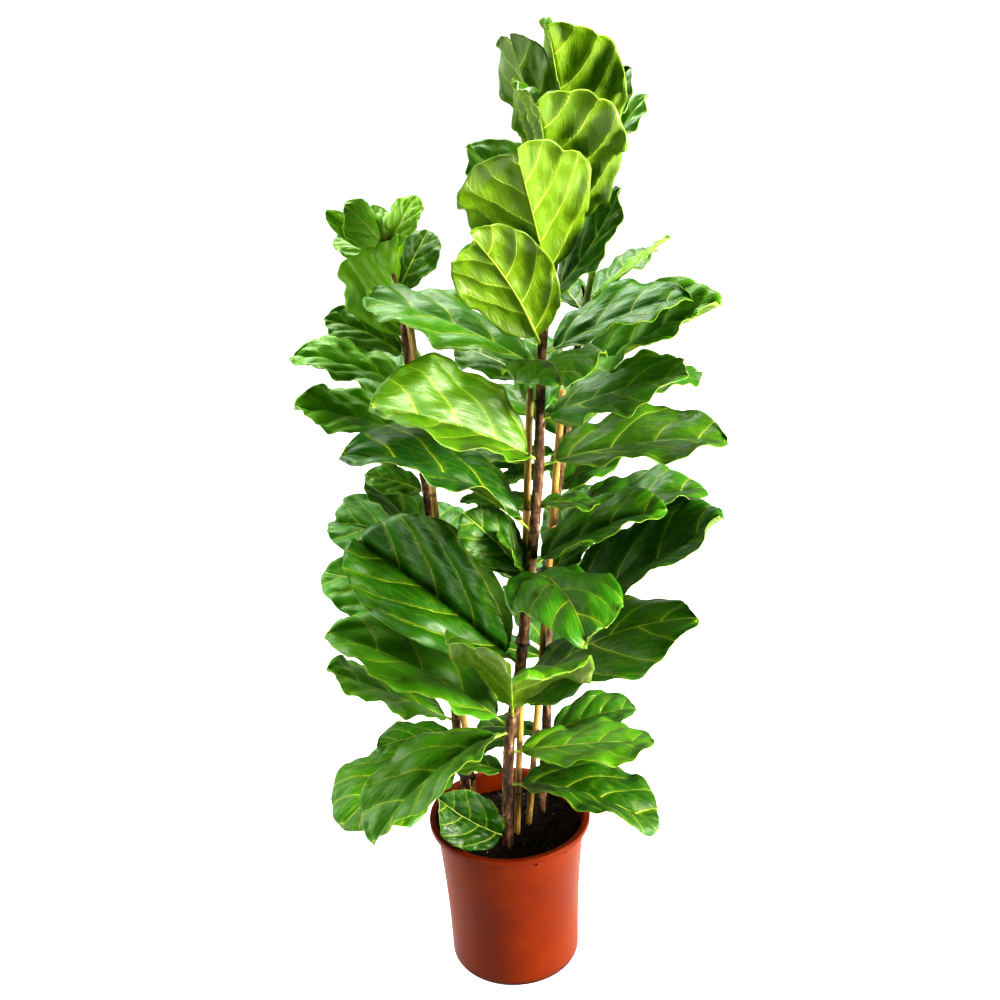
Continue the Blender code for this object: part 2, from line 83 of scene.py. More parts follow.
def addObject(name, data):
    piece = bpy.data.objects.new(name, data)
    bpy.context.scene.collection.objects.link(piece)
    return piece


def newMesh(name, points, faces, materials):
    mesh = bpy.data.meshes.new(name)
    mesh.from_pydata([tuple(p) for p in points], [], [tuple(int(i) for i in f) for f in faces])
    for material in materials:
        mesh.materials.append(material)
    mesh.shade_smooth()
    return addObject(name, mesh)


def newTubes(name, lines, widths, material):  # round tubes along lines of points
    curve = bpy.data.curves.new(name, "CURVE")
    curve.dimensions = "3D"
    curve.bevel_depth = 1
    curve.bevel_resolution = 2
    curve.use_fill_caps = True
    for line, radii in zip(lines, widths):
        spline = curve.splines.new("POLY")
        spline.points.add(len(line) - 1)
        for point, spot, radius in zip(spline.points, line, radii):
            point.co = (*spot, 1)
            point.radius = radius
    curve.materials.append(material)
    return addObject(name, curve)


def thicken(piece, thickness):  # half of it on each side of the sheet
    sheet = piece.modifiers.new("thickness", "SOLIDIFY")
    sheet.thickness = thickness
    sheet.offset = 0
    return sheet


def roundAngles(sides):
    return 2 * math.pi * np.arange(sides) / sides


def gridFaces(rows, across, wrap=False, start=0, flip=False):  # quads between rows of points
    quads = [(start + i * across + j, start + (i + 1) * across + j,
              start + (i + 1) * across + (j + 1) % across, start + i * across + (j + 1) % across)
             for i in range(rows - 1) for j in range(across if wrap else across - 1)]
    return [(a, d, c, b) for a, b, c, d in quads] if flip else quads


def smoothAt(places, values, at):  # a smooth curve through a table's points
    slopes = np.gradient(values, places)
    n = np.clip(np.searchsorted(places, at) - 1, 0, len(places) - 2)
    gap = places[n + 1] - places[n]
    s = np.clip((at - places[n]) / gap, 0, 1)
    low = (2 * s ** 3 - 3 * s ** 2 + 1) * values[n] + (s ** 3 - 2 * s ** 2 + s) * gap * slopes[n]
    high = (3 * s ** 2 - 2 * s ** 3) * values[n + 1] + (s ** 3 - s ** 2) * gap * slopes[n + 1]
    return low + high


def speckledSkin(name, stops, roughness, grain, relief=None, coordinates="Object"):
    material, tree = newMaterial(name)
    spot = addNode(tree, "ShaderNodeTexCoord")
    speck = addNode(tree, "ShaderNodeTexNoise", grain, {"Vector": spot.outputs[coordinates]})
    tone = addNode(tree, "ShaderNodeValToRGB", {"stops": stops}, {"Fac": speck.outputs["Fac"]})
    links = {"Base Color": tone.outputs["Color"]}
    if relief:
        bump = addNode(tree, "ShaderNodeBump", relief, {"Height": speck.outputs["Fac"]})
        links["Normal"] = bump.outputs["Normal"]
    skin = addNode(tree, "ShaderNodeBsdfPrincipled", {"Roughness": roughness}, links)
    addNode(tree, "ShaderNodeOutputMaterial", {}, {"Surface": skin.outputs[0]})
    return material


# leaves: the same form as the solids, in a fine grid

leafForm = {
    "thickness": 0.0008, "stations": 54, "columns": 34,
    "evenStations": 0.6, "evenReach": 0.72,  # past these shares the stations close up to the tip
    "outline": [(0.0, 0.10), (0.03, 0.32), (0.08, 0.50), (0.14, 0.62), (0.22, 0.73), (0.32, 0.84),
                (0.45, 0.95), (0.60, 1.0)],  # up to the widest place
    "tipPower": 0.56,    # 0.5 would be half an ellipse; more is more pointed
    "stalkShare": 0.095,  # part of the whole length that is stalk
    "stalkRadius": 0.0024, "fullStalk": 0.2,  # a leaf shorter than this has a thinner stalk
    "ribStart": 0.02, "ribEnd": 0.97,  # where the line of stalk and midrib starts and ends
    "curlFrom": 0.7,     # where the tip starts to curl
    "veins": 3.9,        # side veins for a whole blade, on each side
    "firstVein": 0.06,   # where the lowest one leaves the midrib
    "veinLean": 0.62, "veinBend": 3.1,  # how a side vein leans and curves towards the tip
    "shift": 0.42,       # the right half's veins start this much further on
    "cup": 0.12,         # how far each half falls towards its margin
    "wave": 0.10, "waves": 2.3,  # slow waves of the margin: height for the half-width, and number
    "usualLength": 0.28,  # the heights below are for a leaf of this length
    "ripple": 0.0030, "ripples": 6.1,  # quick waves of the margin
    "pucker": 0.0084,    # how far the blade swells between its veins
    "buckle": 0.0016,    # slow buckles over the whole blade
    "crease": 0.0009,    # small creases that run from vein to vein
}

# a leaf's row: height on the stem and length in metres; bearing, rise, roll and the two folds in
# degrees; arch, curl, half-width and lobes as shares of the length; then youth, painted light and
# shade (0 paints the leaf shaded, 1 paints it lit) and blemish from 0 to 1, and how much the blade swells
# between its veins
leafFields = ("height", "bearing", "rise", "length", "roll", "foldLeft", "foldRight", "arch", "curl",
              "halfWidth", "lobeLeft", "lobeRight", "youth", "paintedLightAndShade", "blemish", "swell")

frontStem = {
    "path": [  # x, y, z and radius
        (-0.006, -0.041, 0.1305, 0.0094), (-0.006, -0.041, 0.245, 0.0094),
        (-0.002, -0.044, 0.34, 0.0090), (0.005, -0.045, 0.44, 0.0088), (0.028, -0.045, 0.57, 0.0086),
        (0.040, -0.045, 0.67, 0.0083), (0.055, -0.045, 0.78, 0.0080), (0.068, -0.045, 0.90, 0.0075),
        (0.072, -0.045, 0.99, 0.0069), (0.077, -0.045, 1.08, 0.0064), (0.100, -0.045, 1.21, 0.0057),
        (0.130, -0.043, 1.34, 0.0046), (0.137, -0.042, 1.372, 0.0040), (0.142, -0.042, 1.40, 0.0012)],
    "leaves": [
        (0.252, -157, 44, 0.165, -63, 20, 45, -0.04, 0, 0.33, 0, 0, 0, 0.1, 0.1, 0.8),  # small, at the rim
        (0.355, -20, -8, 0.25, -3, 18, 24, 0.1, -0.02, 0.35, 0, 0, 0.05, 0.15, 0.15, 0.6),  # low right
        (0.375, 160, 4, 0.115, 0, 10, 10, 0.05, 0, 0.31, 0, 0, 0.1, 0.3, 0, 0.8),  # inward, small
        (0.415, 1, 2, 0.235, 0, 4, 10, 0.02, -0.02, 0.3, 0, 0, 0.3, 0.5, 0.2, 0.6),  # low right, level
        (0.454, -139, -13, 0.285, 1, 32, 12, 0.11, -0.02, 0.31, 0, 0, 0.2, 0.4, 0.5, 0.8),  # low left
        (0.46, 175, 31, 0.33, -13, 24, 18, 0.06, 0, 0.3, 0, 0, 0.25, 0.65, 0.2, 0.7),  # long, lower left
        (0.48, -90, 39, 0.36, -8, 19, 33, 0.05, 0, 0.34, 0.03, 0.03, 0.35, 0.45, 0.95, 0.8),  # back shown
        (0.493, -12, 32, 0.337, 14, -3, 0, 0.12, 0, 0.28, 0, 0, 0.1, 0.18, 0.3, 0.5),  # large, lower right
        (0.572, 156, 33, 0.325, -53, 50, 38, 0.02, 0, 0.4, 0.03, 0, 0.05, 0.3, 0.05, 1.1),  # puckered
        (0.705, -154, 64, 0.11, -20, 12, 12, 0.04, 0, 0.31, 0, 0, 0.1, 0.3, 0, 0.8),  # inner left, small
        (0.718, -178, 51, 0.15, -56, 2, 14, 0.03, 0, 0.29, 0, 0, 0.1, 0.3, 0.05, 0.8),  # behind the stem
        (0.726, -75, 8, 0.26, 1, 2, 3, 0.09, -0.1, 0.31, 0, 0, 0.1, 0.5, 0.1, 1.1),  # drooping to the front
        (0.741, -2, 23, 0.222, 13, 23, 29, 0.05, 0, 0.3, 0, 0, 0.15, 0.5, 0.1, 0.6),  # right, rising
        (0.795, -170, 29, 0.315, -11, 26, 24, 0.09, 0, 0.3, 0, 0, 0, 0.25, 0.05, 0.7),  # long, left
        (0.84, 2, -3, 0.095, 0, 8, 8, 0.05, 0, 0.36, 0, 0, 0.1, 0.45, 0.1, 0.8),  # small, inner right
        (0.902, 3, 5, 0.28, 18, 12, 25, 0.04, -0.02, 0.3, 0, 0, 0.2, 0.18, 0.1, 0.5),  # long, right, level
        (0.91, -156, 26, 0.28, -42, 38, 30, 0.04, 0, 0.345, 0, 0, 0.35, 0, 0.15, 0.5),  # broad, left
        (0.965, 88, 18, 0.24, 0, 12, 12, 0.06, 0, 0.17, 0, 0, 0.1, 0.45, 0.1, 0.8),  # back
        (0.973, -28, 22, 0.24, 18, 11, 9, 0.02, -0.02, 0.31, 0, 0, 0.15, 0.4, 0, 0.7),  # right, lower
        (1.02, 138, 14, 0.16, -11, 10, 10, 0.05, 0, 0.31, 0, 0, 0.2, 0.4, 0, 0.8),  # behind, left
        (1.043, -85, 12, 0.216, 12, 4, 14, 0.09, -0.02, 0.33, 0.03, 0, 0.15, 0.4, 0.1, 0.8),  # forward
        (1.045, 172, 24, 0.27, -10, 8, 8, 0.05, 0, 0.3, 0, 0, 0.2, 0.6, 0.1, 0.9),  # long, left
        (1.066, 2, 20, 0.226, 19, 16, 27, 0.04, -0.03, 0.3, 0, 0, 0.05, 0.55, 0.3, 0.5),  # long, right
        (1.079, -130, 52, 0.22, 37, 1, 6, 0.05, 0, 0.31, 0.07, -0.02, 0.4, 0.5, 0.05, 1),  # front left
        (1.147, -8, 56, 0.18, 23, 14, 7, -0.05, 0, 0.29, 0, 0, 0.05, 0.2, 0.05, 0.7),  # dark, right
        (1.165, -102, 43, 0.282, -5, 44, 1, 0.01, 0, 0.33, 0.08, 0.02, 0.45, 0.5, 0.1, 0.8),  # big, upright
        (1.18, 150, 54, 0.21, 5, 6, 38, 0.09, 0, 0.35, 0.03, 0.03, 0.4, 0.4, 0.1, 0.8),  # upright, left
        (1.217, -97, 41, 0.305, -6, 19, 56, 0.05, 0, 0.34, 0.08, 0.03, 0.4, 0.38, 0.1, 1.5),  # to the front
        (1.25, 14, 52, 0.205, 16, 20, 18, 0.04, 0, 0.22, 0, 0, 0.6, 0.7, 0, 0.8),  # narrow, behind
        (1.3, 15, 59, 0.174, 32, 14, 24, 0.05, 0, 0.28, 0, 0, 0.05, 0.2, 0, 0.8),  # top right, behind
        (1.307, -129, 57, 0.219, -5, 11, 18, -0.04, 0, 0.27, 0.04, 0.04, 0.4, 0.05, 0.05, 0.6),  # top, left
        (1.322, -102, 47, 0.245, -12, 16, 60, 0, 0, 0.36, 0.06, 0, 0.4, 0.85, 0.05, 1.15),  # topmost
    ],
}
leftStem = {
    "path": [
        (-0.070, 0.055, 0.1305, 0.0080), (-0.070, 0.055, 0.245, 0.0080), (-0.083, 0.060, 0.38, 0.0076),
        (-0.084, 0.068, 0.48, 0.0074), (-0.096, 0.075, 0.66, 0.0070), (-0.110, 0.082, 0.85, 0.0064),
        (-0.126, 0.090, 1.08, 0.0056), (-0.137, 0.092, 1.17, 0.0050), (-0.144, 0.095, 1.22, 0.0044),
        (-0.148, 0.096, 1.25, 0.0012)],
    "leaves": [
        (0.34, 30, 12, 0.11, 5, 15, 15, 0.05, 0, 0.31, 0, 0, 0.1, 0.3, 0, 0.8),  # inward
        (0.36, -136, -3, 0.255, -10, 2, 5, 0.07, -0.02, 0.33, 0, 0, 0.15, 0.3, 0.2, 0.8),  # hanging
        (0.394, -160, 2, 0.14, -9, 15, 6, 0.05, 0, 0.3, 0, 0, 0.1, 0.4, 0, 0.8),  # small, low
        (0.413, -166, 33, 0.248, -8, 16, 4, 0.01, 0, 0.3, 0, 0, 0.35, 0.55, 0.3, 0.8),  # low
        (0.47, 120, 10, 0.27, 0, 12, 12, 0.06, 0, 0.31, 0, 0, 0.1, 0.45, 0.1, 0.8),  # back
        (0.605, 164, 17, 0.216, -29, 7, 16, 0.06, 0, 0.32, 0, 0, 0.2, 0.7, 0.1, 0.8),  # left
        (0.66, 95, 13, 0.23, 0, 12, 12, 0.06, 0, 0.31, 0, 0, 0.1, 0.45, 0.1, 0.8),  # back
        (0.7, 154, 48, 0.185, -6, 27, 11, 0.04, 0, 0.32, 0, 0, 0.1, 0.3, 0.1, 0.8),  # behind the big one
        (0.715, 142, 3, 0.223, -49, 30, 40, 0.05, 0, 0.28, 0, 0, 0.1, 0.5, 0.1, 1.2),  # curled
        (0.82, 175, 18, 0.1, -30, 10, 10, 0.05, 0, 0.31, 0, 0, 0.25, 0.5, 0, 0.8),  # behind
        (0.82, 25, 14, 0.19, 10, 10, 10, 0.05, 0, 0.31, 0, 0, 0.1, 0.3, 0, 0.8),  # inward
        (0.905, -161, 23, 0.205, -21, 14, 16, 0.05, 0, 0.31, 0, 0, 0.5, 0.95, 0.1, 1.2),  # left
        (0.92, 115, 25, 0.22, 0, 12, 12, 0.06, 0, 0.31, 0, 0, 0.1, 0.45, 0.1, 0.8),  # back
        (0.982, -179, 21, 0.19, -17, 19, 22, 0.06, 0, 0.32, 0, 0, 0.5, 0.9, 0.1, 1.4),  # left
        (1.037, -179, 29, 0.14, -26, 12, 17, 0.07, 0, 0.32, 0, 0, 0.3, 0.55, 0.05, 1.2),  # left
        (1.06, -172, 92, 0.162, 3, -93, -2, -0.07, 0, 0.47, 0, 0, 0.8, 1, 0.05, 1.7),  # to the front
        (1.135, 47, 49, 0.114, 16, 4, 0, 0.02, 0, 0.34, 0, 0, 0.15, 0.12, 0.05, 0.5),  # right
        (1.18, 152, 23, 0.1, -23, 7, 3, 0.04, 0, 0.33, 0, 0, 0.6, 0.6, 0, 0.8),  # top
        (1.19, -178, 41, 0.115, -85, 32, 50, 0.02, 0, 0.2, 0, 0, 1, 0.9, 0, 0.4),  # top, on edge
        (1.197, -154, 52, 0.1, -50, -15, 8, 0.04, 0, 0.35, 0, 0, 0.7, 0.65, 0, 0.6),  # top
        (1.197, 24, 58, 0.095, 30, 2, 6, 0.05, 0, 0.32, 0, 0, 1, 1, 0, 0.6),  # top
        (1.21, 115, 43, 0.075, 0, 10, 10, 0.04, 0, 0.33, 0, 0, 0.6, 0.55, 0, 0.8),  # top
        (0.45, 6, 2, 0.135, 0, 10, 10, 0.05, 0, 0.33, 0, 0, 0.05, 0.2, 0.1, 0.8),  # inward, low
    ],
}
rightStem = {
    "path": [
        (0.054, 0.047, 0.1305, 0.0080), (0.054, 0.047, 0.245, 0.0080), (0.068, 0.050, 0.39, 0.0076),
        (0.079, 0.053, 0.65, 0.0074), (0.086, 0.055, 0.74, 0.0073), (0.099, 0.060, 0.83, 0.0071),
        (0.115, 0.062, 0.91, 0.0067), (0.130, 0.065, 0.99, 0.0062), (0.135, 0.066, 1.05, 0.0056),
        (0.150, 0.068, 1.12, 0.0050), (0.160, 0.070, 1.16, 0.0044), (0.167, 0.071, 1.19, 0.0012)],
    "leaves": [
        (0.382, 9, 12, 0.16, 13, 17, 20, 0.07, 0, 0.31, 0, 0, 0.1, 0.4, 0.4, 0.8),  # low right, behind
        (0.52, 80, 15, 0.28, 0, 12, 12, 0.06, 0, 0.31, 0, 0, 0.1, 0.45, 0.1, 0.8),  # back
        (0.62, -14, 32, 0.325, 18, 32, 30, -0.04, 0, 0.29, 0, 0, 0.05, 0.3, 0.25, 0.6),  # large, right
        (0.67, 60, 18, 0.13, 0, 12, 12, 0.05, 0, 0.31, 0, 0, 0.1, 0.4, 0.1, 0.8),  # right, behind
        (0.7, 58, 18, 0.2, 0, 12, 12, 0.06, 0, 0.31, 0, 0, 0.1, 0.45, 0.1, 0.8),  # back
        (0.737, 12, 13, 0.265, 6, 16, 23, 0.05, -0.02, 0.31, 0, 0, 0.1, 0.35, 0.2, 0.8),  # right, rising
        (0.81, 55, 13, 0.2, 8, 15, 15, 0.05, 0, 0.31, 0, 0, 0.1, 0.4, 0, 0.8),  # right, behind
        (0.89, 88, 20, 0.26, 0, 12, 12, 0.06, 0, 0.31, 0, 0, 0.1, 0.45, 0.1, 0.8),  # back
        (0.93, 150, 10, 0.17, 0, 10, 10, 0.05, 0, 0.31, 0, 0, 0.1, 0.35, 0, 0.8),  # behind the front
        (0.98, 19, 1, 0.213, 4, 6, 3, 0.04, 0, 0.31, 0, 0, 0.1, 0.4, 0, 0.8),  # right, behind
        (0.997, -32, 30, 0.268, 30, 29, 30, 0.01, 0, 0.31, 0, 0, 0.35, 0.6, 0.1, 1.4),  # long, right
        (1.11, -5, 38, 0.16, 0, 14, 14, 0.02, 0, 0.17, 0, 0, 0.8, 0.8, 0, 0.4),  # youngest, right stem
        (1.118, 46, 19, 0.165, -10, 5, 14, 0.01, 0, 0.31, 0, 0, 0.1, 0.35, 0.1, 0.8),  # upper right, behind
        (1.15, 120, 55, 0.14, 0, 15, 15, 0.04, 0, 0.31, 0, 0, 0.5, 0.6, 0, 0.8),  # young, behind
        (0.385, 168, 4, 0.12, 0, 10, 10, 0.05, 0, 0.33, 0, 0, 0.1, 0.3, 0.1, 0.8),  # inward, low
        (0.53, 172, 10, 0.14, 0, 10, 10, 0.04, 0, 0.31, 0, 0, 0.1, 0.35, 0.05, 0.8),  # inward, lower
        (0.79, 172, 6, 0.15, 0, 10, 10, 0.04, 0, 0.31, 0, 0, 0.1, 0.5, 0.05, 0.8),  # inward, middle
        (0.86, 196, -6, 0.1, 0, 10, 10, 0.05, 0, 0.36, 0, 0, 0.1, 0.4, 0.05, 0.8),  # inward, small
        (0.88, 170, -4, 0.15, 0, 10, 10, 0.04, 0, 0.31, 0, 0, 0.1, 0.55, 0.05, 0.8),  # inward
        (1.1, 110, 16, 0.12, 0, 10, 10, 0.05, 0, 0.31, 0, 0, 0.1, 0.3, 0, 0.8),  # inward, high
    ],
}


def alongStem(path, height):
    table = np.array(path)
    return np.array([np.interp(height, table[:, 2], table[:, n]) for n in range(4)])


def leafAxes(leaf):
    a, r, q = (math.radians(leaf[name]) for name in ("bearing", "rise", "roll"))
    along = np.array([math.cos(r) * math.cos(a), math.cos(r) * math.sin(a), math.sin(r)])
    side = np.array([-math.sin(a), math.cos(a), 0.0])
    lift = np.cross(along, side)
    return (along, lift, math.cos(q) * side + math.sin(q) * lift,
            -math.sin(q) * side + math.cos(q) * lift)


def midribPoints(leaf, base, t):
    along, lift = leafAxes(leaf)[:2]
    curled = np.clip((t - leafForm["curlFrom"]) / (1 - leafForm["curlFrom"]), 0, 1) ** 2
    raised = leaf["arch"] * 4 * t * (1 - t) + leaf["curl"] * curled
    return base + leaf["length"] * (t[..., None] * along + raised[..., None] * lift)


def outlineAt(u):  # by the table up to the widest place, a rounded tip above it
    places, widths = np.array(leafForm["outline"]).T
    widest = places[-1]
    tip = np.clip(1 - ((u - widest) / (1 - widest)) ** 2, 0.0004, 1) ** leafForm["tipPower"]
    return np.where(u > widest, tip, smoothAt(places, widths, u))


def veinPhase(u, across):  # whole numbers lie on side veins, which curve towards the tip
    start = (u - leafForm["veinLean"] * across - leafForm["veinBend"] * across ** 2
             - leafForm["firstVein"])
    return np.maximum(start * leafForm["veins"], -0.5)


def bladePoints(leaf, base, seed, u, v):
    along, _, side, up = leafAxes(leaf)
    length = leaf["length"]
    left = v >= 0
    far = np.abs(v)
    lobe = (np.where(left, leaf["lobeLeft"], leaf["lobeRight"])
            * far ** 1.3 * np.clip((u - 0.35) / 0.6, 0, 1) ** 2)
    t = leafForm["stalkShare"] + (1 - leafForm["stalkShare"]) * u
    half = leaf["halfWidth"] * length
    reach = far * half * outlineAt(u)
    fold = np.radians(np.where(left, leaf["foldLeft"], leaf["foldRight"]))
    other = np.where(left, 0.0, 1.9)  # the two margins don't wave together
    wave = (leafForm["wave"] * half * far ** 2.2 * np.clip(4 * u, 0, 1)
            * np.sin(2 * math.pi * leafForm["waves"] * u + 1.7 * seed + other))
    ripple = (leafForm["ripple"] * length / leafForm["usualLength"] * far ** 4 * np.clip(5 * u, 0, 1)
              * np.sin(2 * math.pi * leafForm["ripples"] * u + 2.9 * seed + 1.4 * other))
    cup = -leafForm["cup"] * reach ** 2 / half
    return (midribPoints(leaf, base, t) + (lobe * length)[..., None] * along
            + side * (np.sign(v) * reach * np.cos(fold))[..., None]
            + up * (reach * np.sin(fold) + wave + ripple + cup)[..., None])


def gridNormals(points):
    normals = np.cross(np.gradient(points, axis=0), np.gradient(points, axis=1))
    return normals / np.maximum(np.linalg.norm(normals, axis=-1, keepdims=True), 1e-12)


def puckered(points, leaf, seed, u, v):  # the blade swells between its veins, and buckles a little
    across = np.abs(v) * leaf["halfWidth"] * outlineAt(u)
    phase = veinPhase(u, across) + np.where(v >= 0, 0.0, leafForm["shift"])
    between = np.abs(np.sin(math.pi * phase))  # 0 on a vein, 1 half-way to the next
    swell = between ** 0.6
    rampIn = np.clip(across / 0.06, 0, 1) ** 0.8
    fade = 1 - 0.45 * np.abs(v) ** 4
    crease = (np.sin(62 * across + 7 * np.sin(math.pi * phase) + 1.9 * seed)
              + 0.7 * np.sin(101 * across + 4 * phase + 3.1 * seed)) * between
    buckle = (np.sin(9.5 * u + 2.3 * seed) * np.sin(6.0 * v + 1.1 * seed)
              + 0.6 * np.sin(17 * u - 9 * v + 3.7 * seed))
    height = leaf["length"] / leafForm["usualLength"] * rampIn * (
        leafForm["pucker"] * leaf["swell"] * swell * fade + leafForm["buckle"] * buckle
        + leafForm["crease"] * crease)
    return points + gridNormals(points) * height[..., None]


def makeLeaf(name, path, leaf, seed, node, materials):
    stations, columns = leafForm["stations"], leafForm["columns"]
    even, reach = leafForm["evenStations"], leafForm["evenReach"]
    s = np.linspace(0, 1, stations + 1)
    closing = reach + (1 - reach) * np.sin((s - even) / (1 - even) * math.pi / 2)
    u, v = np.meshgrid(np.where(s < even, reach * s / even, closing),
                       np.linspace(-1, 1, columns + 1), indexing="ij")
    base = alongStem(path, leaf["height"])[:3]
    points = puckered(bladePoints(leaf, base, seed, u, v), leaf, seed, u, v)
    faces = gridFaces(stations + 1, columns + 1)
    piece = newMesh(name, points.reshape(-1, 3), faces, materials)
    mesh = piece.data
    corners = np.array(faces).reshape(-1)
    onLeft = np.repeat(np.tile(np.arange(columns) >= columns // 2, stations), 4)
    u, v = u.reshape(-1), v.reshape(-1)
    across = np.abs(v) * leaf["halfWidth"] * outlineAt(u)
    phase = veinPhase(u, across)[corners] + np.where(onLeft, 0.0, leafForm["shift"])
    veins = mesh.uv_layers.new(name="veins")  # vein phase, share of the way to the margin
    veins.data.foreach_set("uv", np.stack([phase, np.abs(v)[corners]], 1).reshape(-1))
    metric = mesh.uv_layers.new(name="metric")  # centimetres on the blade
    flat = np.stack([u + seed * 1.7, np.sign(v) * across], 1) * leaf["length"] * 100
    metric.data.foreach_set("uv", flat[corners].reshape(-1))
    look = mesh.attributes.new("look", "FLOAT_COLOR", "POINT")  # and the place along the blade
    # the second value is painted light and shade: low paints the leaf shaded, high paints it lit
    shown = [leaf["youth"], leaf["paintedLightAndShade"], leaf["blemish"]]
    look.data.foreach_set("color", np.column_stack([np.tile(shown, (len(u), 1)), u]).reshape(-1))
    sheet = thicken(piece, leafForm["thickness"])
    sheet.material_offset = 1
    sheet.material_offset_rim = 2
    return place(piece, node, "foliage")


def makeStalks(name, path, leaves, node, material):  # stalk and midrib, a tapered line for each leaf
    share = leafForm["stalkShare"]
    t = np.concatenate([np.linspace(leafForm["ribStart"], share, 5),
                        np.linspace(share, leafForm["ribEnd"], 22)[1:]])
    onBlade = t > share
    u = np.clip((t - share) / (1 - share), 0, 1)
    taper = np.where(onBlade, 0.92 - 0.80 * u ** 0.8, 1.0 + 0.35 * (1 - t / share) ** 3)
    lines, widths = [], []
    for leaf in leaves:
        points = midribPoints(leaf, alongStem(path, leaf["height"])[:3], t)
        radius = leafForm["stalkRadius"] * min(1, leaf["length"] / leafForm["fullStalk"]) * taper
        sunk = (0.25 * radius * onBlade)[:, None]  # the midrib stands out below the blade
        lines.append(points - leafAxes(leaf)[3] * sunk)
        widths.append(radius)
    return place(newTubes(name, lines, widths, material), node, "foliage")


leafTones = {
    "net": "#b6cc3c", "rib": "#cdd865", "scorch": "#6b4018",
    # upper side: a waxy cuticle over deep green; its veins lie in grooves
    # on each side, shade is a painted-shade green and light is a painted-lit green; each leaf's painted
    # light and shade picks between them
    "upper": {"shade": "#0a4402", "light": "#2c8604", "young": "#86c20a", "vein": "#b6cc3c",
              "glow": "#7cc800", "relief": -1.0, "roughness": (0.35, 0.47), "specular": 0.55,
              "through": 0.16},
    # lower side: paler and more matt, with raised veins; it lets more light through
    "under": {"shade": "#2f5404", "light": "#7a9c12", "young": "#7a9c12", "vein": "#c8d868",
              "glow": "#a8dc10", "relief": 1.0, "roughness": (0.36, 0.48), "specular": 0.75,
              "through": 0.22},
}


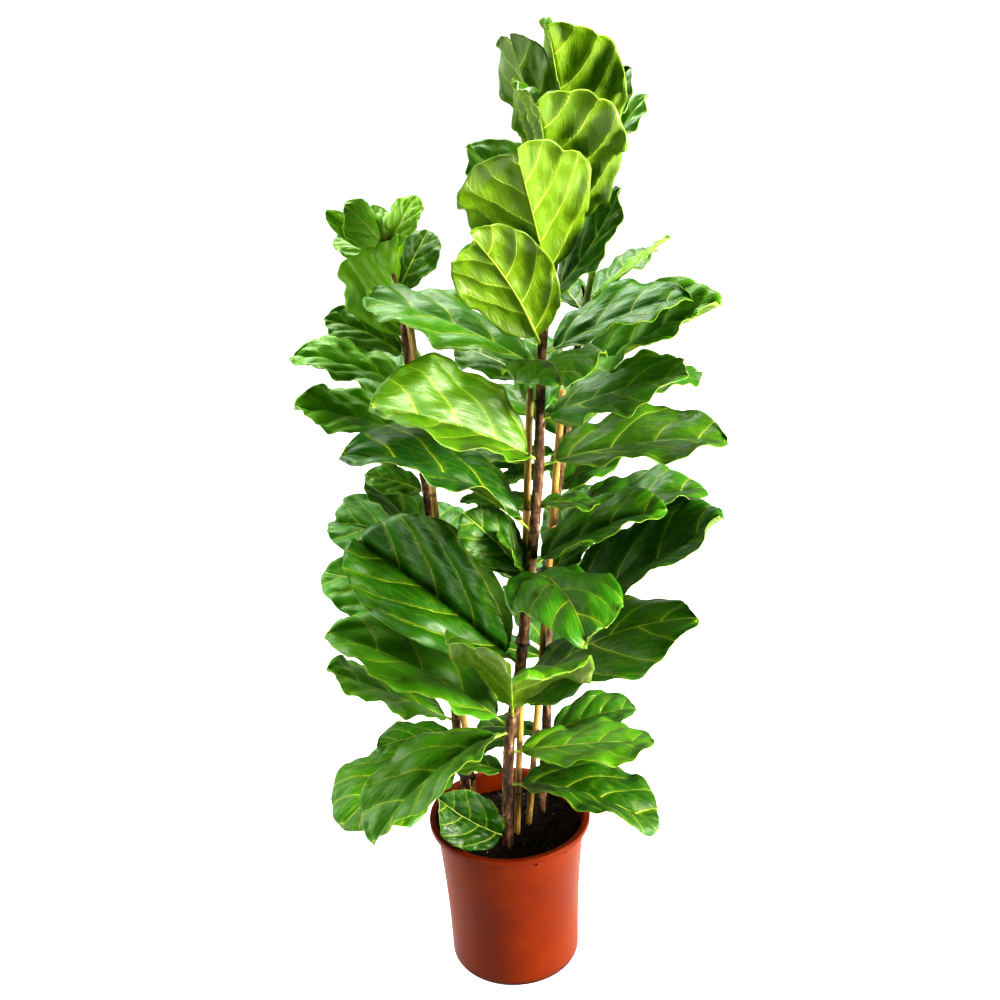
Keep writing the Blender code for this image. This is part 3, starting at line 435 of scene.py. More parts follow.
def leafSurface(name, skin):  # leathery fig blade, with its veins and their net
    material, tree = newMaterial(name)
    veinMap = addNode(tree, "ShaderNodeUVMap", {"uv_map": "veins"})
    metric = addNode(tree, "ShaderNodeUVMap", {"uv_map": "metric"})
    look = addNode(tree, "ShaderNodeAttribute", {"attribute_name": "look"})
    lookParts = addNode(tree, "ShaderNodeSeparateColor", {}, {"Color": look.outputs["Color"]})
    # the second part is the leaf's painted light and shade
    youth, paintedLightAndShade, blemish = lookParts.outputs[:3]
    phase = addNode(tree, "ShaderNodeSeparateXYZ", {}, {"Vector": veinMap.outputs["UV"]})
    spot = addNode(tree, "ShaderNodeSeparateXYZ", {}, {"Vector": metric.outputs["UV"]})
    onLine = {"interpolation_type": "SMOOTHSTEP", "To Min": 1.0, "To Max": 0.0}  # 1 on it, 0 beside

    # side veins, narrower towards the margin, each in a paler band
    offVein = addNode(tree, "ShaderNodeMath", {"operation": "PINGPONG", 1: 0.5},
                      {0: phase.outputs["X"]})
    veinWidth = addNode(tree, "ShaderNodeMath", {"operation": "MULTIPLY_ADD", 1: -0.016, 2: 0.024},
                        {0: phase.outputs["Y"]})
    veinPlace = addNode(tree, "ShaderNodeMath", {"operation": "DIVIDE"},
                        {0: offVein.outputs[0], 1: veinWidth.outputs[0]})
    vein = addNode(tree, "ShaderNodeMapRange", {**onLine, "From Min": 0.5, "From Max": 1.4},
                   {"Value": veinPlace.outputs[0]})
    halo = addNode(tree, "ShaderNodeMapRange", {**onLine, "From Max": 0.16},
                   {"Value": offVein.outputs[0]})

    # midrib: its half-width goes from 1.9 mm at the stalk to 0.6 mm at the tip
    offRib = addNode(tree, "ShaderNodeMath", {"operation": "ABSOLUTE"}, {0: spot.outputs["Y"]})
    ribWidth = addNode(tree, "ShaderNodeMath", {"operation": "MULTIPLY_ADD", 1: -0.13, 2: 0.19},
                       {0: look.outputs["Alpha"]})
    ribPlace = addNode(tree, "ShaderNodeMath", {"operation": "DIVIDE"},
                       {0: offRib.outputs[0], 1: ribWidth.outputs[0]})
    rib = addNode(tree, "ShaderNodeMapRange", {**onLine, "From Min": 0.5, "From Max": 1.2},
                  {"Value": ribPlace.outputs[0]})

    # rungs between the side veins, about 8 mm apart, and the finest net, meshes of about 4 mm
    rungX = addNode(tree, "ShaderNodeMath", {"operation": "MULTIPLY", 1: 1.5}, {0: phase.outputs["X"]})
    rungY = addNode(tree, "ShaderNodeMath", {"operation": "MULTIPLY", 1: 1.25}, {0: spot.outputs["Y"]})
    rungs = addNode(tree, "ShaderNodeCombineXYZ", {}, {"X": rungX.outputs[0], "Y": rungY.outputs[0]})
    ladder = addNode(tree, "ShaderNodeTexVoronoi", {"feature": "DISTANCE_TO_EDGE", "Scale": 1.0,
                     "Randomness": 0.8}, {"Vector": rungs.outputs[0]})
    rung = addNode(tree, "ShaderNodeMapRange", {**onLine, "From Max": 0.09},
                   {"Value": ladder.outputs["Distance"]})
    cells = addNode(tree, "ShaderNodeTexVoronoi", {"feature": "DISTANCE_TO_EDGE", "Scale": 2.6},
                    {"Vector": metric.outputs["UV"]})
    net = addNode(tree, "ShaderNodeMapRange", {**onLine, "From Max": 0.12},
                  {"Value": cells.outputs["Distance"]})
    mottle = addNode(tree, "ShaderNodeTexNoise", {"Scale": 0.20, "Detail": 3.0, "Roughness": 0.55},
                     {"Vector": metric.outputs["UV"]})  # clouds of about 50 mm
    grain = addNode(tree, "ShaderNodeTexNoise", {"Scale": 4.5, "Detail": 2.0},
                    {"Vector": metric.outputs["UV"]})  # 2 mm, drawn coarser than the real pores

    # how much the fine lines tint the green, and how far all of them stand out or lie in
    raised = skin["relief"]
    sums = []
    for layers in (((net, 0.05), (rung, 0.13), (halo, 0.16)),
                   ((grain, 0.3), (net, 0.16 * raised), (rung, 0.45 * raised), (vein, 0.9 * raised))):
        total = None
        for layer, weight in layers:
            links = {0: layer.outputs[0], 2: total.outputs[0]} if total else {0: layer.outputs[0]}
            total = addNode(tree, "ShaderNodeMath", {"operation": "MULTIPLY_ADD", 1: weight, 2: 0.0},
                            links)
        sums.append(total)
    lines, relief = sums

    # painted light and shade: the green runs from the painted-shade green to the painted-lit green, set by
    # the leaf's painted light value plus random mottle
    cloud = addNode(tree, "ShaderNodeMath", {"operation": "MULTIPLY_ADD", 1: 0.9, 2: -0.45},
                    {0: mottle.outputs["Fac"]})
    mottleAndPaintedLight = addNode(tree, "ShaderNodeMath", {"operation": "ADD", "use_clamp": True},
                     {0: cloud.outputs[0], 1: paintedLightAndShade})
    green = addNode(tree, "ShaderNodeMix", {"data_type": "RGBA", 6: skin["shade"], 7: skin["light"]},
                    {0: mottleAndPaintedLight.outputs[0]})
    patches = addNode(tree, "ShaderNodeTexNoise", {"Scale": 0.55, "Detail": 4.0, "Roughness": 0.7},
                      {"Vector": metric.outputs["UV"]})  # dry patches of about 20 mm
    needed = addNode(tree, "ShaderNodeMath", {"operation": "MULTIPLY_ADD", 1: -0.20, 2: 0.80},
                     {0: blemish})
    excess = addNode(tree, "ShaderNodeMath", {"operation": "SUBTRACT"},
                     {0: patches.outputs["Fac"], 1: needed.outputs[0]})
    scorch = addNode(tree, "ShaderNodeMath", {"operation": "MULTIPLY", 1: 14.0, "use_clamp": True},
                     {0: excess.outputs[0]})
    veinShow = addNode(tree, "ShaderNodeMath", {"operation": "MULTIPLY", 1: 0.85},
                       {0: vein.outputs["Result"]})
    ribShow = addNode(tree, "ShaderNodeMath", {"operation": "MULTIPLY", 1: 0.9},
                      {0: rib.outputs["Result"]})
    colour = green.outputs[2]
    for shown, tone in ((youth, skin["young"]), (lines.outputs[0], leafTones["net"]),
                        (scorch.outputs[0], leafTones["scorch"]), (veinShow.outputs[0], skin["vein"]),
                        (ribShow.outputs[0], leafTones["rib"])):
        layer = addNode(tree, "ShaderNodeMix", {"data_type": "RGBA", 7: tone}, {0: shown, 6: colour})
        colour = layer.outputs[2]

    bump = addNode(tree, "ShaderNodeBump", {"Strength": 0.55, "Distance": 0.0009},
                   {"Height": relief.outputs[0]})
    smooth, dull = skin["roughness"]
    rough = addNode(tree, "ShaderNodeMapRange", {"From Min": 0.3, "From Max": 0.7, "To Min": smooth,
                    "To Max": dull}, {"Value": mottle.outputs["Fac"]})
    blade = addNode(tree, "ShaderNodeBsdfPrincipled", {"IOR": 1.5,
                    "Specular IOR Level": skin["specular"]},
                    {"Base Color": colour, "Roughness": rough.outputs["Result"],
                     "Normal": bump.outputs["Normal"]})
    lit = addNode(tree, "ShaderNodeMix", {"data_type": "RGBA", 0: 0.55, 7: skin["glow"]}, {6: colour})
    glow = addNode(tree, "ShaderNodeBsdfTranslucent", {},
                   {"Color": lit.outputs[2], "Normal": bump.outputs["Normal"]})
    both = addNode(tree, "ShaderNodeMixShader", {0: skin["through"]},
                   {1: blade.outputs[0], 2: glow.outputs[0]})
    addNode(tree, "ShaderNodeOutputMaterial", {}, {"Surface": both.outputs[0]})
    return material


# stems: young fig bark with leaf scars

barkForm = {
    "sides": 20, "step": 0.005, "soften": 7,  # bends are softened over this many steps
    "ring": 0.00055, "ringWidth": 0.0022,  # the swollen ring at a leaf scar
    "scarFrom": 0.12, "scarTo": 0.05, "scarStep": 0.027, "scarShift": 0.006,  # leaves lost long ago
    "rough": 0.055, "greenFrom": 0.14,  # the youngest 14 cm are still green
    "tones": [(0.32, "#28150a"), (0.46, "#523620"), (0.57, "#7e5f42"), (0.68, "#bca27f")],
    "ringTone": "#2a1a14", "youngTone": "#7d9a3a",
}


def tubeThrough(name, centres, radii, material):  # radii: one row of radii for each centre
    centres = np.asarray(centres, float)
    way = np.gradient(centres, axis=0)
    way /= np.linalg.norm(way, axis=1, keepdims=True)
    across = np.cross(way, [0.0, 1.0, 0.0])
    across /= np.linalg.norm(across, axis=1, keepdims=True)
    other = np.cross(way, across)
    rows, sides = radii.shape
    angle = roundAngles(sides)
    points = (centres[:, None] + radii[..., None] * (np.cos(angle)[None, :, None] * across[:, None]
              + np.sin(angle)[None, :, None] * other[:, None]))
    faces = gridFaces(rows, sides, wrap=True)
    faces.append(tuple(range(sides)))
    faces.append(tuple((rows - 1) * sides + j for j in reversed(range(sides))))
    return newMesh(name, points.reshape(-1, 3), faces, [material])


def makeStem(name, path, leaves, node, material):
    foot, top = path[0][2], path[-1][2]
    heights = np.append(np.arange(foot, top, barkForm["step"]), top)
    table = np.array([alongStem(path, h) for h in heights])
    soften = barkForm["soften"]
    for n in (0, 1):  # the bends between the path's points
        padded = np.pad(table[:, n], soften // 2, mode="edge")
        table[:, n] = np.convolve(padded, np.ones(soften) / soften, mode="valid")
    angle = roundAngles(barkForm["sides"])
    radii = np.repeat(table[:, 3:4], len(angle), axis=1)
    older = np.arange(foot + barkForm["scarFrom"], top - barkForm["scarTo"], barkForm["scarStep"])
    scars = [leaf["height"] for leaf in leaves]
    scars += [h + barkForm["scarShift"] * math.sin(311 * h) for h in older]
    for k, (h, r) in enumerate(zip(heights, table[:, 3])):
        ring = sum(math.exp(-((h - s) / barkForm["ringWidth"]) ** 2) for s in scars
                   if abs(h - s) < 0.01)
        for j, a in enumerate(angle):
            spot = Vector((math.cos(a) * 1.6, math.sin(a) * 1.6, h * 60))
            lump = noise.noise(spot) + 0.5 * noise.noise(spot * 3.1)
            radii[k, j] += r * barkForm["rough"] * lump + barkForm["ring"] * min(ring, 1.3)
    piece = tubeThrough(name, table[:, :3], radii, material)
    age = piece.data.attributes.new("age", "FLOAT", "POINT")  # 0 at the green tip, 1 on old bark
    grown = np.clip((top - np.repeat(heights, len(angle))) / barkForm["greenFrom"], 0, 1)
    age.data.foreach_set("value", grown)
    return place(piece, node, "foliage")


stipuleForm = {
    "count": 15, "fromTip": 0.035, "step": 0.031, "turn": 2.4,
    "length": 0.020, "shorter": 0.0006,  # each one down is this much shorter
    "halfTurn": 0.9, "gap": 0.0006, "flare": 0.006, "thickness": 0.0004, "grid": 5,
}


def makeStipules(name, path, node, material):  # papery sheaths left at the young leaf joints
    grid = stipuleForm["grid"]
    points, faces = [], []
    for n in range(stipuleForm["count"]):
        x, y, z, r = alongStem(path, path[-1][2] - stipuleForm["fromTip"] - stipuleForm["step"] * n)
        faces += gridFaces(grid, grid, start=len(points), flip=True)
        length = stipuleForm["length"] - stipuleForm["shorter"] * n
        for i in range(grid):
            s = i / (grid - 1)
            flare = stipuleForm["flare"] * s ** 1.6 * (0.6 + 0.4 * math.sin(3.1 * n))
            away = r + stipuleForm["gap"] + flare
            for j in range(grid):
                aside = (j - grid // 2) / (grid // 2) * (1 - s) ** 0.7
                a = stipuleForm["turn"] * n + aside * stipuleForm["halfTurn"]
                points.append((x + away * math.cos(a), y + away * math.sin(a), z + length * s))
    piece = newMesh(name, points, faces, [material])
    thicken(piece, stipuleForm["thickness"])
    return place(piece, node, "foliage")


def figBark():  # young fig bark: matt brown, with tan corky patches and darker rings
    material, tree = newMaterial("figBark")
    spot = addNode(tree, "ShaderNodeTexCoord")
    long = addNode(tree, "ShaderNodeMapping", {"Scale": (1.0, 1.0, 0.35)},
                   {"Vector": spot.outputs["Object"]})
    patch = addNode(tree, "ShaderNodeTexNoise", {"Scale": 120.0, "Detail": 4.0, "Roughness": 0.65},
                    {"Vector": long.outputs["Vector"]})  # patches of about 8 mm
    tone = addNode(tree, "ShaderNodeValToRGB", {"stops": barkForm["tones"]},
                   {"Fac": patch.outputs["Fac"]})
    bands = addNode(tree, "ShaderNodeTexWave", {"bands_direction": "Z", "Scale": 18.0,
                    "Distortion": 9.0, "Detail": 3.0}, {"Vector": spot.outputs["Object"]})
    ring = addNode(tree, "ShaderNodeMapRange", {"From Min": 0.75, "To Max": 0.40},
                   {"Value": bands.outputs["Fac"]})
    ringed = addNode(tree, "ShaderNodeMix", {"data_type": "RGBA", 7: barkForm["ringTone"]},
                     {0: ring.outputs["Result"], 6: tone.outputs["Color"]})
    age = addNode(tree, "ShaderNodeAttribute", {"attribute_name": "age"})
    skin = addNode(tree, "ShaderNodeMix", {"data_type": "RGBA", 6: barkForm["youngTone"]},
                   {0: age.outputs["Fac"], 7: ringed.outputs[2]})
    bump = addNode(tree, "ShaderNodeBump", {"Strength": 0.6, "Distance": 0.0012},
                   {"Height": patch.outputs["Fac"]})
    bark = addNode(tree, "ShaderNodeBsdfPrincipled", {"Roughness": 0.72},
                   {"Base Color": skin.outputs[2], "Normal": bump.outputs["Normal"]})
    addNode(tree, "ShaderNodeOutputMaterial", {}, {"Surface": bark.outputs[0]})
    return material


# canes: bamboo with a ridge and a groove at each knot

canes = {
    "front": ((0.0040, -0.0110, 0.1303), (0.0590, -0.0280, 1.015)),
    "left": ((-0.050, 0.0430, 0.1303), (-0.114, 0.0550, 1.105)),
    "right": ((0.0210, 0.0190, 0.1303), (0.109, -0.0070, 1.02)),
}
caneForm = {
    "radius": 0.0055, "endRadius": 0.9, "sides": 24, "steps": 60,
    "firstKnot": 0.19, "knots": 0.17, "knotHalf": 0.006,
    "ridge": 0.0007, "ridgeWidth": 0.0014,
    "groove": 0.0003, "grooveWidth": 0.0008, "grooveBelow": 0.0022, "stainWidth": 0.0028,
    "tones": [(0.3, "#8a6c34"), (0.55, "#c09c5a"), (0.8, "#dccb94")],
    "stain": "#8a6420", "knotTone": "#5f4420",
}


def makeCane(side, material):
    foot, top = (np.array(end) for end in canes[side])
    length = np.linalg.norm(top - foot)
    knots = np.arange(caneForm["firstKnot"], length - 0.03, caneForm["knots"])
    half = caneForm["knotHalf"]
    nearKnots = [k + np.linspace(-half, half, 13) for k in knots]
    places = np.concatenate([np.linspace(0, length, caneForm["steps"])] + nearKnots)
    places = np.unique(np.round(places, 5))
    places = places[(places >= 0) & (places <= length)]
    nearest = np.min(np.abs(places[:, None] - knots[None]), axis=1)
    below = np.min(np.abs(places[:, None] - (knots - caneForm["grooveBelow"])[None]), axis=1)
    profile = (caneForm["radius"] + caneForm["ridge"] * np.exp(-(nearest / caneForm["ridgeWidth"]) ** 2)
               - caneForm["groove"] * np.exp(-(below / caneForm["grooveWidth"]) ** 2))
    profile[[0, -1]] *= caneForm["endRadius"]
    radii = np.repeat(profile[:, None], caneForm["sides"], axis=1)
    centres = foot + (top - foot) * (places / length)[:, None]
    piece = tubeThrough("cane" + side.capitalize(), centres, radii, material)
    knot = piece.data.attributes.new("knot", "FLOAT", "POINT")  # 1 on a knot
    stained = np.exp(-(nearest / caneForm["stainWidth"]) ** 2)
    knot.data.foreach_set("value", np.repeat(stained, caneForm["sides"]))
    return place(piece, "cane_" + side, "bamboo")


def driedBamboo():  # peeled and dried: straw, streaked along its fibres, brown at the knots
    material, tree = newMaterial("driedBamboo")
    spot = addNode(tree, "ShaderNodeTexCoord")
    long = addNode(tree, "ShaderNodeMapping", {"Scale": (1.0, 1.0, 0.04)},
                   {"Vector": spot.outputs["Object"]})
    streak = addNode(tree, "ShaderNodeTexNoise", {"Scale": 900.0, "Detail": 3.0},
                     {"Vector": long.outputs["Vector"]})  # fibres of about 1 mm
    cloud = addNode(tree, "ShaderNodeTexNoise", {"Scale": 22.0, "Detail": 3.0},
                    {"Vector": spot.outputs["Object"]})
    fibre = addNode(tree, "ShaderNodeValToRGB", {"stops": caneForm["tones"]},
                    {"Fac": streak.outputs["Fac"]})
    stain = addNode(tree, "ShaderNodeMapRange", {"From Min": 0.52, "From Max": 0.72, "To Max": 0.55},
                    {"Value": cloud.outputs["Fac"]})
    stained = addNode(tree, "ShaderNodeMix", {"data_type": "RGBA", 7: caneForm["stain"]},
                      {0: stain.outputs["Result"], 6: fibre.outputs["Color"]})
    knot = addNode(tree, "ShaderNodeAttribute", {"attribute_name": "knot"})
    ringed = addNode(tree, "ShaderNodeMix", {"data_type": "RGBA", 7: caneForm["knotTone"]},
                     {0: knot.outputs["Fac"], 6: stained.outputs[2]})
    skin = addNode(tree, "ShaderNodeBsdfPrincipled", {"Roughness": 0.42},
                   {"Base Color": ringed.outputs[2]})
    addNode(tree, "ShaderNodeOutputMaterial", {}, {"Surface": skin.outputs[0]})
    return material


# ties: coated wire wound twice round a stem and its canes

ties = {
    "wire": 0.0012, "clear": 0.0007, "turns": 2, "turnSteps": 48, "rise": 0.0024,
    "drawn": 0.95,  # the wire is drawn this much thinner, so that its turns stay apart
    "tailSteps": 9, "twist": 0.0011, "tailStep": 0.0013,
    "places": [("tie_front_upper", 0.715, "front", ("front", "right")),
               ("tie_front_lower", 0.613, "front", ("front",)),
               ("tie_left_upper", 0.63, "left", ("left",)),
               ("tie_left_lower", 0.315, "left", ("left",))],
}


def makeTie(node, height, stem, held, material):
    rods = [alongStem(stems[stem]["path"], height)[[0, 1, 3]]]
    for side in held:
        foot, top = (np.array(end) for end in canes[side])
        spot = foot + (top - foot) * (height - foot[2]) / (top[2] - foot[2])
        rods.append(np.array([spot[0], spot[1], caneForm["radius"]]))
    steps, turns = ties["turnSteps"], ties["turns"]
    points = []
    for n in range(steps * turns + 1):
        angle = 2 * math.pi * n / steps - math.pi / 2
        away = np.array([math.cos(angle), math.sin(angle)])
        rod = max(rods, key=lambda c: c[0] * away[0] + c[1] * away[1] + c[2])
        reach = rod[2] + ties["clear"] + ties["wire"]
        points.append((rod[0] + reach * away[0], rod[1] + reach * away[1],
                       height + ties["rise"] * (n / steps - turns / 2)))
    points = np.array(points)
    for _ in range(2):  # a wire bends in curves between the rods
        points[1:-1] = (points[:-2] + 2 * points[1:-1] + points[2:]) / 4
    lines, knot, twist = [points], points[0], ties["twist"]
    for way in (-1, 1):  # the two ends, twisted together and cut short
        tail = [knot + np.array([way * twist * math.cos(1.3 * k), -0.0022 - ties["tailStep"] * k,
                                 way * twist * math.sin(1.3 * k) - 0.0004 * k])
                for k in range(ties["tailSteps"])]
        tail[-1] = tail[-1] + np.array([way * 0.0025, 0, 0.0005])
        lines.append(np.array([knot + (0, -0.0004, 0)] + tail))
    widths = [np.full(len(line), ties["wire"] * ties["drawn"]) for line in lines]
    return place(newTubes(node + "Wire", lines, widths, material), node, "tie_wire")


# pot: injection-moulded polypropylene

potForm = {
    "rimRadius": 0.135, "height": 0.271, "wall": 0.0022, "floor": 0.0035, "flange": 0.010,
    "wallProfile": [(0.1093, 0.0055), (0.1120, 0.10), (0.1150, 0.15), (0.1190, 0.20),
                    (0.1250, 0.258)],  # radius and height, outside
    "foot": [(0.1045, 0.0), (0.1064, 0.0003), (0.1080, 0.0016), (0.1089, 0.0033), (0.1093, 0.0055)],
    "gussets": 14, "gussetThick": 0.0024, "gussetDrop": 0.013, "turn": 7,
    "wallSteps": 26, "sides": 144, "sharp": 38,
    "tones": [(0.3, "#6a2402"), (0.55, "#7b2e02"), (0.75, "#863807")],
    "speckle": "#541801", "dirt": "#3a1c10",
}


def makePot(material):
    top, rim, wall, floor = (potForm[name] for name in ("height", "rimRadius", "wall", "floor"))
    radii, heights = np.array(potForm["wallProfile"]).T
    outside = [(float(smoothAt(heights, radii, z)), z)
               for z in np.linspace(heights[0], heights[-1], potForm["wallSteps"])]
    inside = [(r - wall, z) for r, z in reversed(outside)]
    under = top - potForm["flange"]
    lip = [(0.1254, top - 0.0060), (0.1257, top - 0.0034), (0.1266, top - 0.0026),
           (rim - 0.0034, top - 0.0026), (rim - 0.0024, top - 0.0034), (rim - 0.0022, top - 0.0044),
           (rim - 0.0023, under + 0.0006), (rim - 0.0019, under), (rim - 0.0008, under),
           (rim - 0.0003, under + 0.0005), (rim, top - 0.0030), (rim - 0.0002, top - 0.0012),
           (rim - 0.0009, top - 0.0003), (rim - 0.0018, top), (0.1262, top), (0.1250, top - 0.0003),
           (0.1241, top - 0.0012), (0.1237, top - 0.0024)]
    profile = (potForm["foot"] + outside[1:] + lip + inside
               + [(0.1068, floor + 0.0005), (0.1050, floor)])
    sides = potForm["sides"]
    points = [(r * math.cos(a), r * math.sin(a), z) for r, z in profile for a in roundAngles(sides)]
    faces = gridFaces(len(profile), sides, wrap=True, flip=True)
    faces.append(tuple(reversed(range(sides))))
    faces.append(tuple((len(profile) - 1) * sides + j for j in range(sides)))
    under += 0.0012  # the gussets reach up into the flange
    foot = under - potForm["gussetDrop"]
    shape = [(0.1228, under), (0.1224, foot), (0.1248, foot), (rim - 0.0016, under - 0.0020),
             (rim - 0.0013, under)]
    k = len(shape)
    for n in range(potForm["gussets"]):
        turn = 2 * math.pi * (n + 0.5) / potForm["gussets"] - math.radians(potForm["turn"])
        start = len(points)
        for y in (-potForm["gussetThick"] / 2, potForm["gussetThick"] / 2):
            points += [(x * math.cos(turn) - y * math.sin(turn),
                        x * math.sin(turn) + y * math.cos(turn), z) for x, z in shape]
        faces.append(tuple(start + m for m in range(k)))
        faces.append(tuple(start + k + m for m in reversed(range(k))))
        faces += [(start + m, start + k + m, start + k + (m + 1) % k, start + (m + 1) % k)
                  for m in range(k)]
    piece = newMesh("nurseryPot", points, faces, [material])
    piece.data.set_sharp_from_angle(angle=math.radians(potForm["sharp"]))
    return place(piece, "pot", "pot_plastic")


def terracottaPolypropylene():  # dyed and moulded: satin, faintly speckled, dusty round the foot
    material, tree = newMaterial("terracottaPolypropylene")
    spot = addNode(tree, "ShaderNodeTexCoord")
    parts = addNode(tree, "ShaderNodeSeparateXYZ", {}, {"Vector": spot.outputs["Object"]})
    cloud = addNode(tree, "ShaderNodeTexNoise", {"Scale": 9.0, "Detail": 3.0},
                    {"Vector": spot.outputs["Object"]})
    speck = addNode(tree, "ShaderNodeTexNoise", {"Scale": 700.0, "Detail": 2.0, "Roughness": 0.8},
                    {"Vector": spot.outputs["Object"]})  # moulded grain, about 1.5 mm
    base = addNode(tree, "ShaderNodeValToRGB", {"stops": potForm["tones"]},
                   {"Fac": cloud.outputs["Fac"]})
    fine = addNode(tree, "ShaderNodeMapRange", {"From Min": 0.3, "From Max": 0.7, "To Max": 0.35},
                   {"Value": speck.outputs["Fac"]})
    grained = addNode(tree, "ShaderNodeMix", {"data_type": "RGBA", 7: potForm["speckle"]},
                      {0: fine.outputs["Result"], 6: base.outputs["Color"]})
    low = addNode(tree, "ShaderNodeMapRange", {"From Max": 0.012, "To Min": 0.85, "To Max": 0.0},
                  {"Value": parts.outputs["Z"]})  # the lowest 12 mm
    spots = addNode(tree, "ShaderNodeTexNoise", {"Scale": 160.0, "Detail": 4.0, "Roughness": 0.75},
                    {"Vector": spot.outputs["Object"]})  # splashes of about 6 mm
    reached = addNode(tree, "ShaderNodeMath", {"operation": "ADD"},
                      {0: spots.outputs["Fac"], 1: low.outputs["Result"]})
    dirt = addNode(tree, "ShaderNodeMapRange", {"From Min": 0.74, "From Max": 0.95, "To Max": 0.9},
                   {"Value": reached.outputs[0]})
    soiled = addNode(tree, "ShaderNodeMix", {"data_type": "RGBA", 7: potForm["dirt"]},
                     {0: dirt.outputs["Result"], 6: grained.outputs[2]})
    rough = addNode(tree, "ShaderNodeMapRange", {"From Min": 0.3, "From Max": 0.7, "To Min": 0.42,
                    "To Max": 0.54}, {"Value": cloud.outputs["Fac"]})
    bump = addNode(tree, "ShaderNodeBump", {"Strength": 0.10, "Distance": 0.0005},
                   {"Height": speck.outputs["Fac"]})
    plastic = addNode(tree, "ShaderNodeBsdfPrincipled", {"IOR": 1.49, "Specular IOR Level": 0.16},
                      {"Base Color": soiled.outputs[2], "Roughness": rough.outputs["Result"],
                       "Normal": bump.outputs["Normal"]})
    addNode(tree, "ShaderNodeOutputMaterial", {}, {"Surface": plastic.outputs[0]})
    return material


# soil: dark potting mix with bark crumbs and grit

soilForm = {
    "level": 0.236, "bump": 0.003, "fine": 0.0016, "gap": 0.0003, "rings": 46, "sides": 120,
    "wallHeights": (0.225, 0.20, 0.15, 0.10, 0.0055), "foot": (0.1022, 0.0038),
    "crumbReach": 0.117,
    "bark": {"count": 900, "sizes": (0.0012, 0.0034), "flat": 0.55, "seed": 7},
    "grit": {"count": 70, "sizes": (0.0008, 0.0016), "flat": 0.9, "seed": 8},
}


def soilHeight(x, y):
    broad = 0.6 * math.sin(61 * x + 1.0) * math.cos(47 * y + 0.4) + 0.4 * math.sin(140 * x - 90 * y)
    fine = noise.noise(Vector((x * 170, y * 170, 0.3))) + 0.6 * noise.noise(Vector((x * 420, y * 420, 2)))
    return soilForm["level"] + soilForm["bump"] * broad + soilForm["fine"] * fine


def makeSoil(material):
    heights, radii = zip(*[(z, r - potForm["wall"]) for r, z in potForm["wallProfile"]])
    sides, rings, level = soilForm["sides"], soilForm["rings"], soilForm["level"]
    edge, *lower = [float(np.interp(z, heights, radii)) - soilForm["gap"]
                    for z in (level, *soilForm["wallHeights"])]
    angle = roundAngles(sides)
    points = [(0, 0, soilHeight(0, 0))]
    for n in range(1, rings + 1):
        spots = [(edge * n / rings * math.cos(a), edge * n / rings * math.sin(a)) for a in angle]
        points += [(x, y, soilHeight(x, y)) for x, y in spots]
    below = list(zip(lower, soilForm["wallHeights"])) + [soilForm["foot"]]
    points += [(r * math.cos(a), r * math.sin(a), z) for r, z in below for a in angle]
    rows = rings + len(below)
    faces = [(0, 1 + j, 1 + (j + 1) % sides) for j in range(sides)]
    faces += gridFaces(rows, sides, wrap=True, start=1)
    faces.append(tuple(1 + (rows - 1) * sides + j for j in reversed(range(sides))))
    return place(newMesh("pottingMix", points, faces, [material]), "soil", "potting_mix")


def makeCrumbs(name, crumb, material):  # loose bits pressed into the surface
    draw = np.random.default_rng(crumb["seed"])
    ball = [(1, 0, 0), (-1, 0, 0), (0, 1, 0), (0, -1, 0), (0, 0, 1), (0, 0, -1),
            (.6, .6, .5), (-.6, .6, .5), (-.6, -.6, .5), (.6, -.6, .5)]
    shell = [(4, 6, 7), (4, 7, 8), (4, 8, 9), (4, 9, 6), (0, 2, 6), (2, 1, 7), (1, 3, 8), (3, 0, 9),
             (6, 2, 7), (7, 1, 8), (8, 3, 9), (9, 0, 6), (2, 0, 5), (1, 2, 5), (3, 1, 5), (0, 3, 5)]
    points, faces = [], []
    for _ in range(crumb["count"]):
        r, a = soilForm["crumbReach"] * math.sqrt(draw.random()), 2 * math.pi * draw.random()
        x, y = r * math.cos(a), r * math.sin(a)
        size = draw.uniform(*crumb["sizes"])
        long = draw.uniform(0.7, 1.8)
        turn = 2 * math.pi * draw.random()
        tip = draw.uniform(-0.5, 0.5)
        start = len(points)
        for p in ball:
            jitter = draw.uniform(0.75, 1.25)
            px, py, pz = p[0] * long * jitter, p[1] * jitter, p[2] * crumb["flat"] * jitter + tip * p[0]
            points.append((x + size * (px * math.cos(turn) - py * math.sin(turn)),
                           y + size * (px * math.sin(turn) + py * math.cos(turn)),
                           soilHeight(x, y) + size * (pz + 0.1)))
        faces += [tuple(start + n for n in f) for f in shell]
    return place(newMesh(name, points, faces, [material]), "soil", "potting_mix")


# finishes that are one speckle and a roughness

skins = {
    # waxy rim of a blade: pale, with faint flecks
    "leafMarginCuticle": {"stops": [(0.35, "#8fae2c"), (0.7, "#a9c23c")], "roughness": 0.45,
                          "grain": {"Scale": 90.0}, "coordinates": "Generated"},
    # living stalk skin: satin green, more yellow in flecks of about 15 mm
    "leafStalkSkin": {"stops": [(0.32, "#6f9430"), (0.52, "#a9bf45"), (0.75, "#cdd65a")],
                      "roughness": 0.42, "grain": {"Scale": 60.0, "Detail": 3.0}},
    # dried sheath of a leaf bud: thin brown paper, with 3 mm streaks
    "dryStipule": {"stops": [(0.35, "#3b2314"), (0.7, "#8a5f3c")], "roughness": 0.7,
                   "grain": {"Scale": 300.0, "Detail": 2.0}},
    # PVC drawn over steel wire: black, slightly glossy, with grey scuffs
    "blackPvcWire": {"stops": [(0.4, "#141414"), (0.75, "#2e2e2c")], "roughness": 0.45,
                     "grain": {"Scale": 400.0}},
}
mixGrain = {"Detail": 6.0, "Roughness": 0.7}
mixRelief = {"Strength": 0.8, "Distance": 0.002}
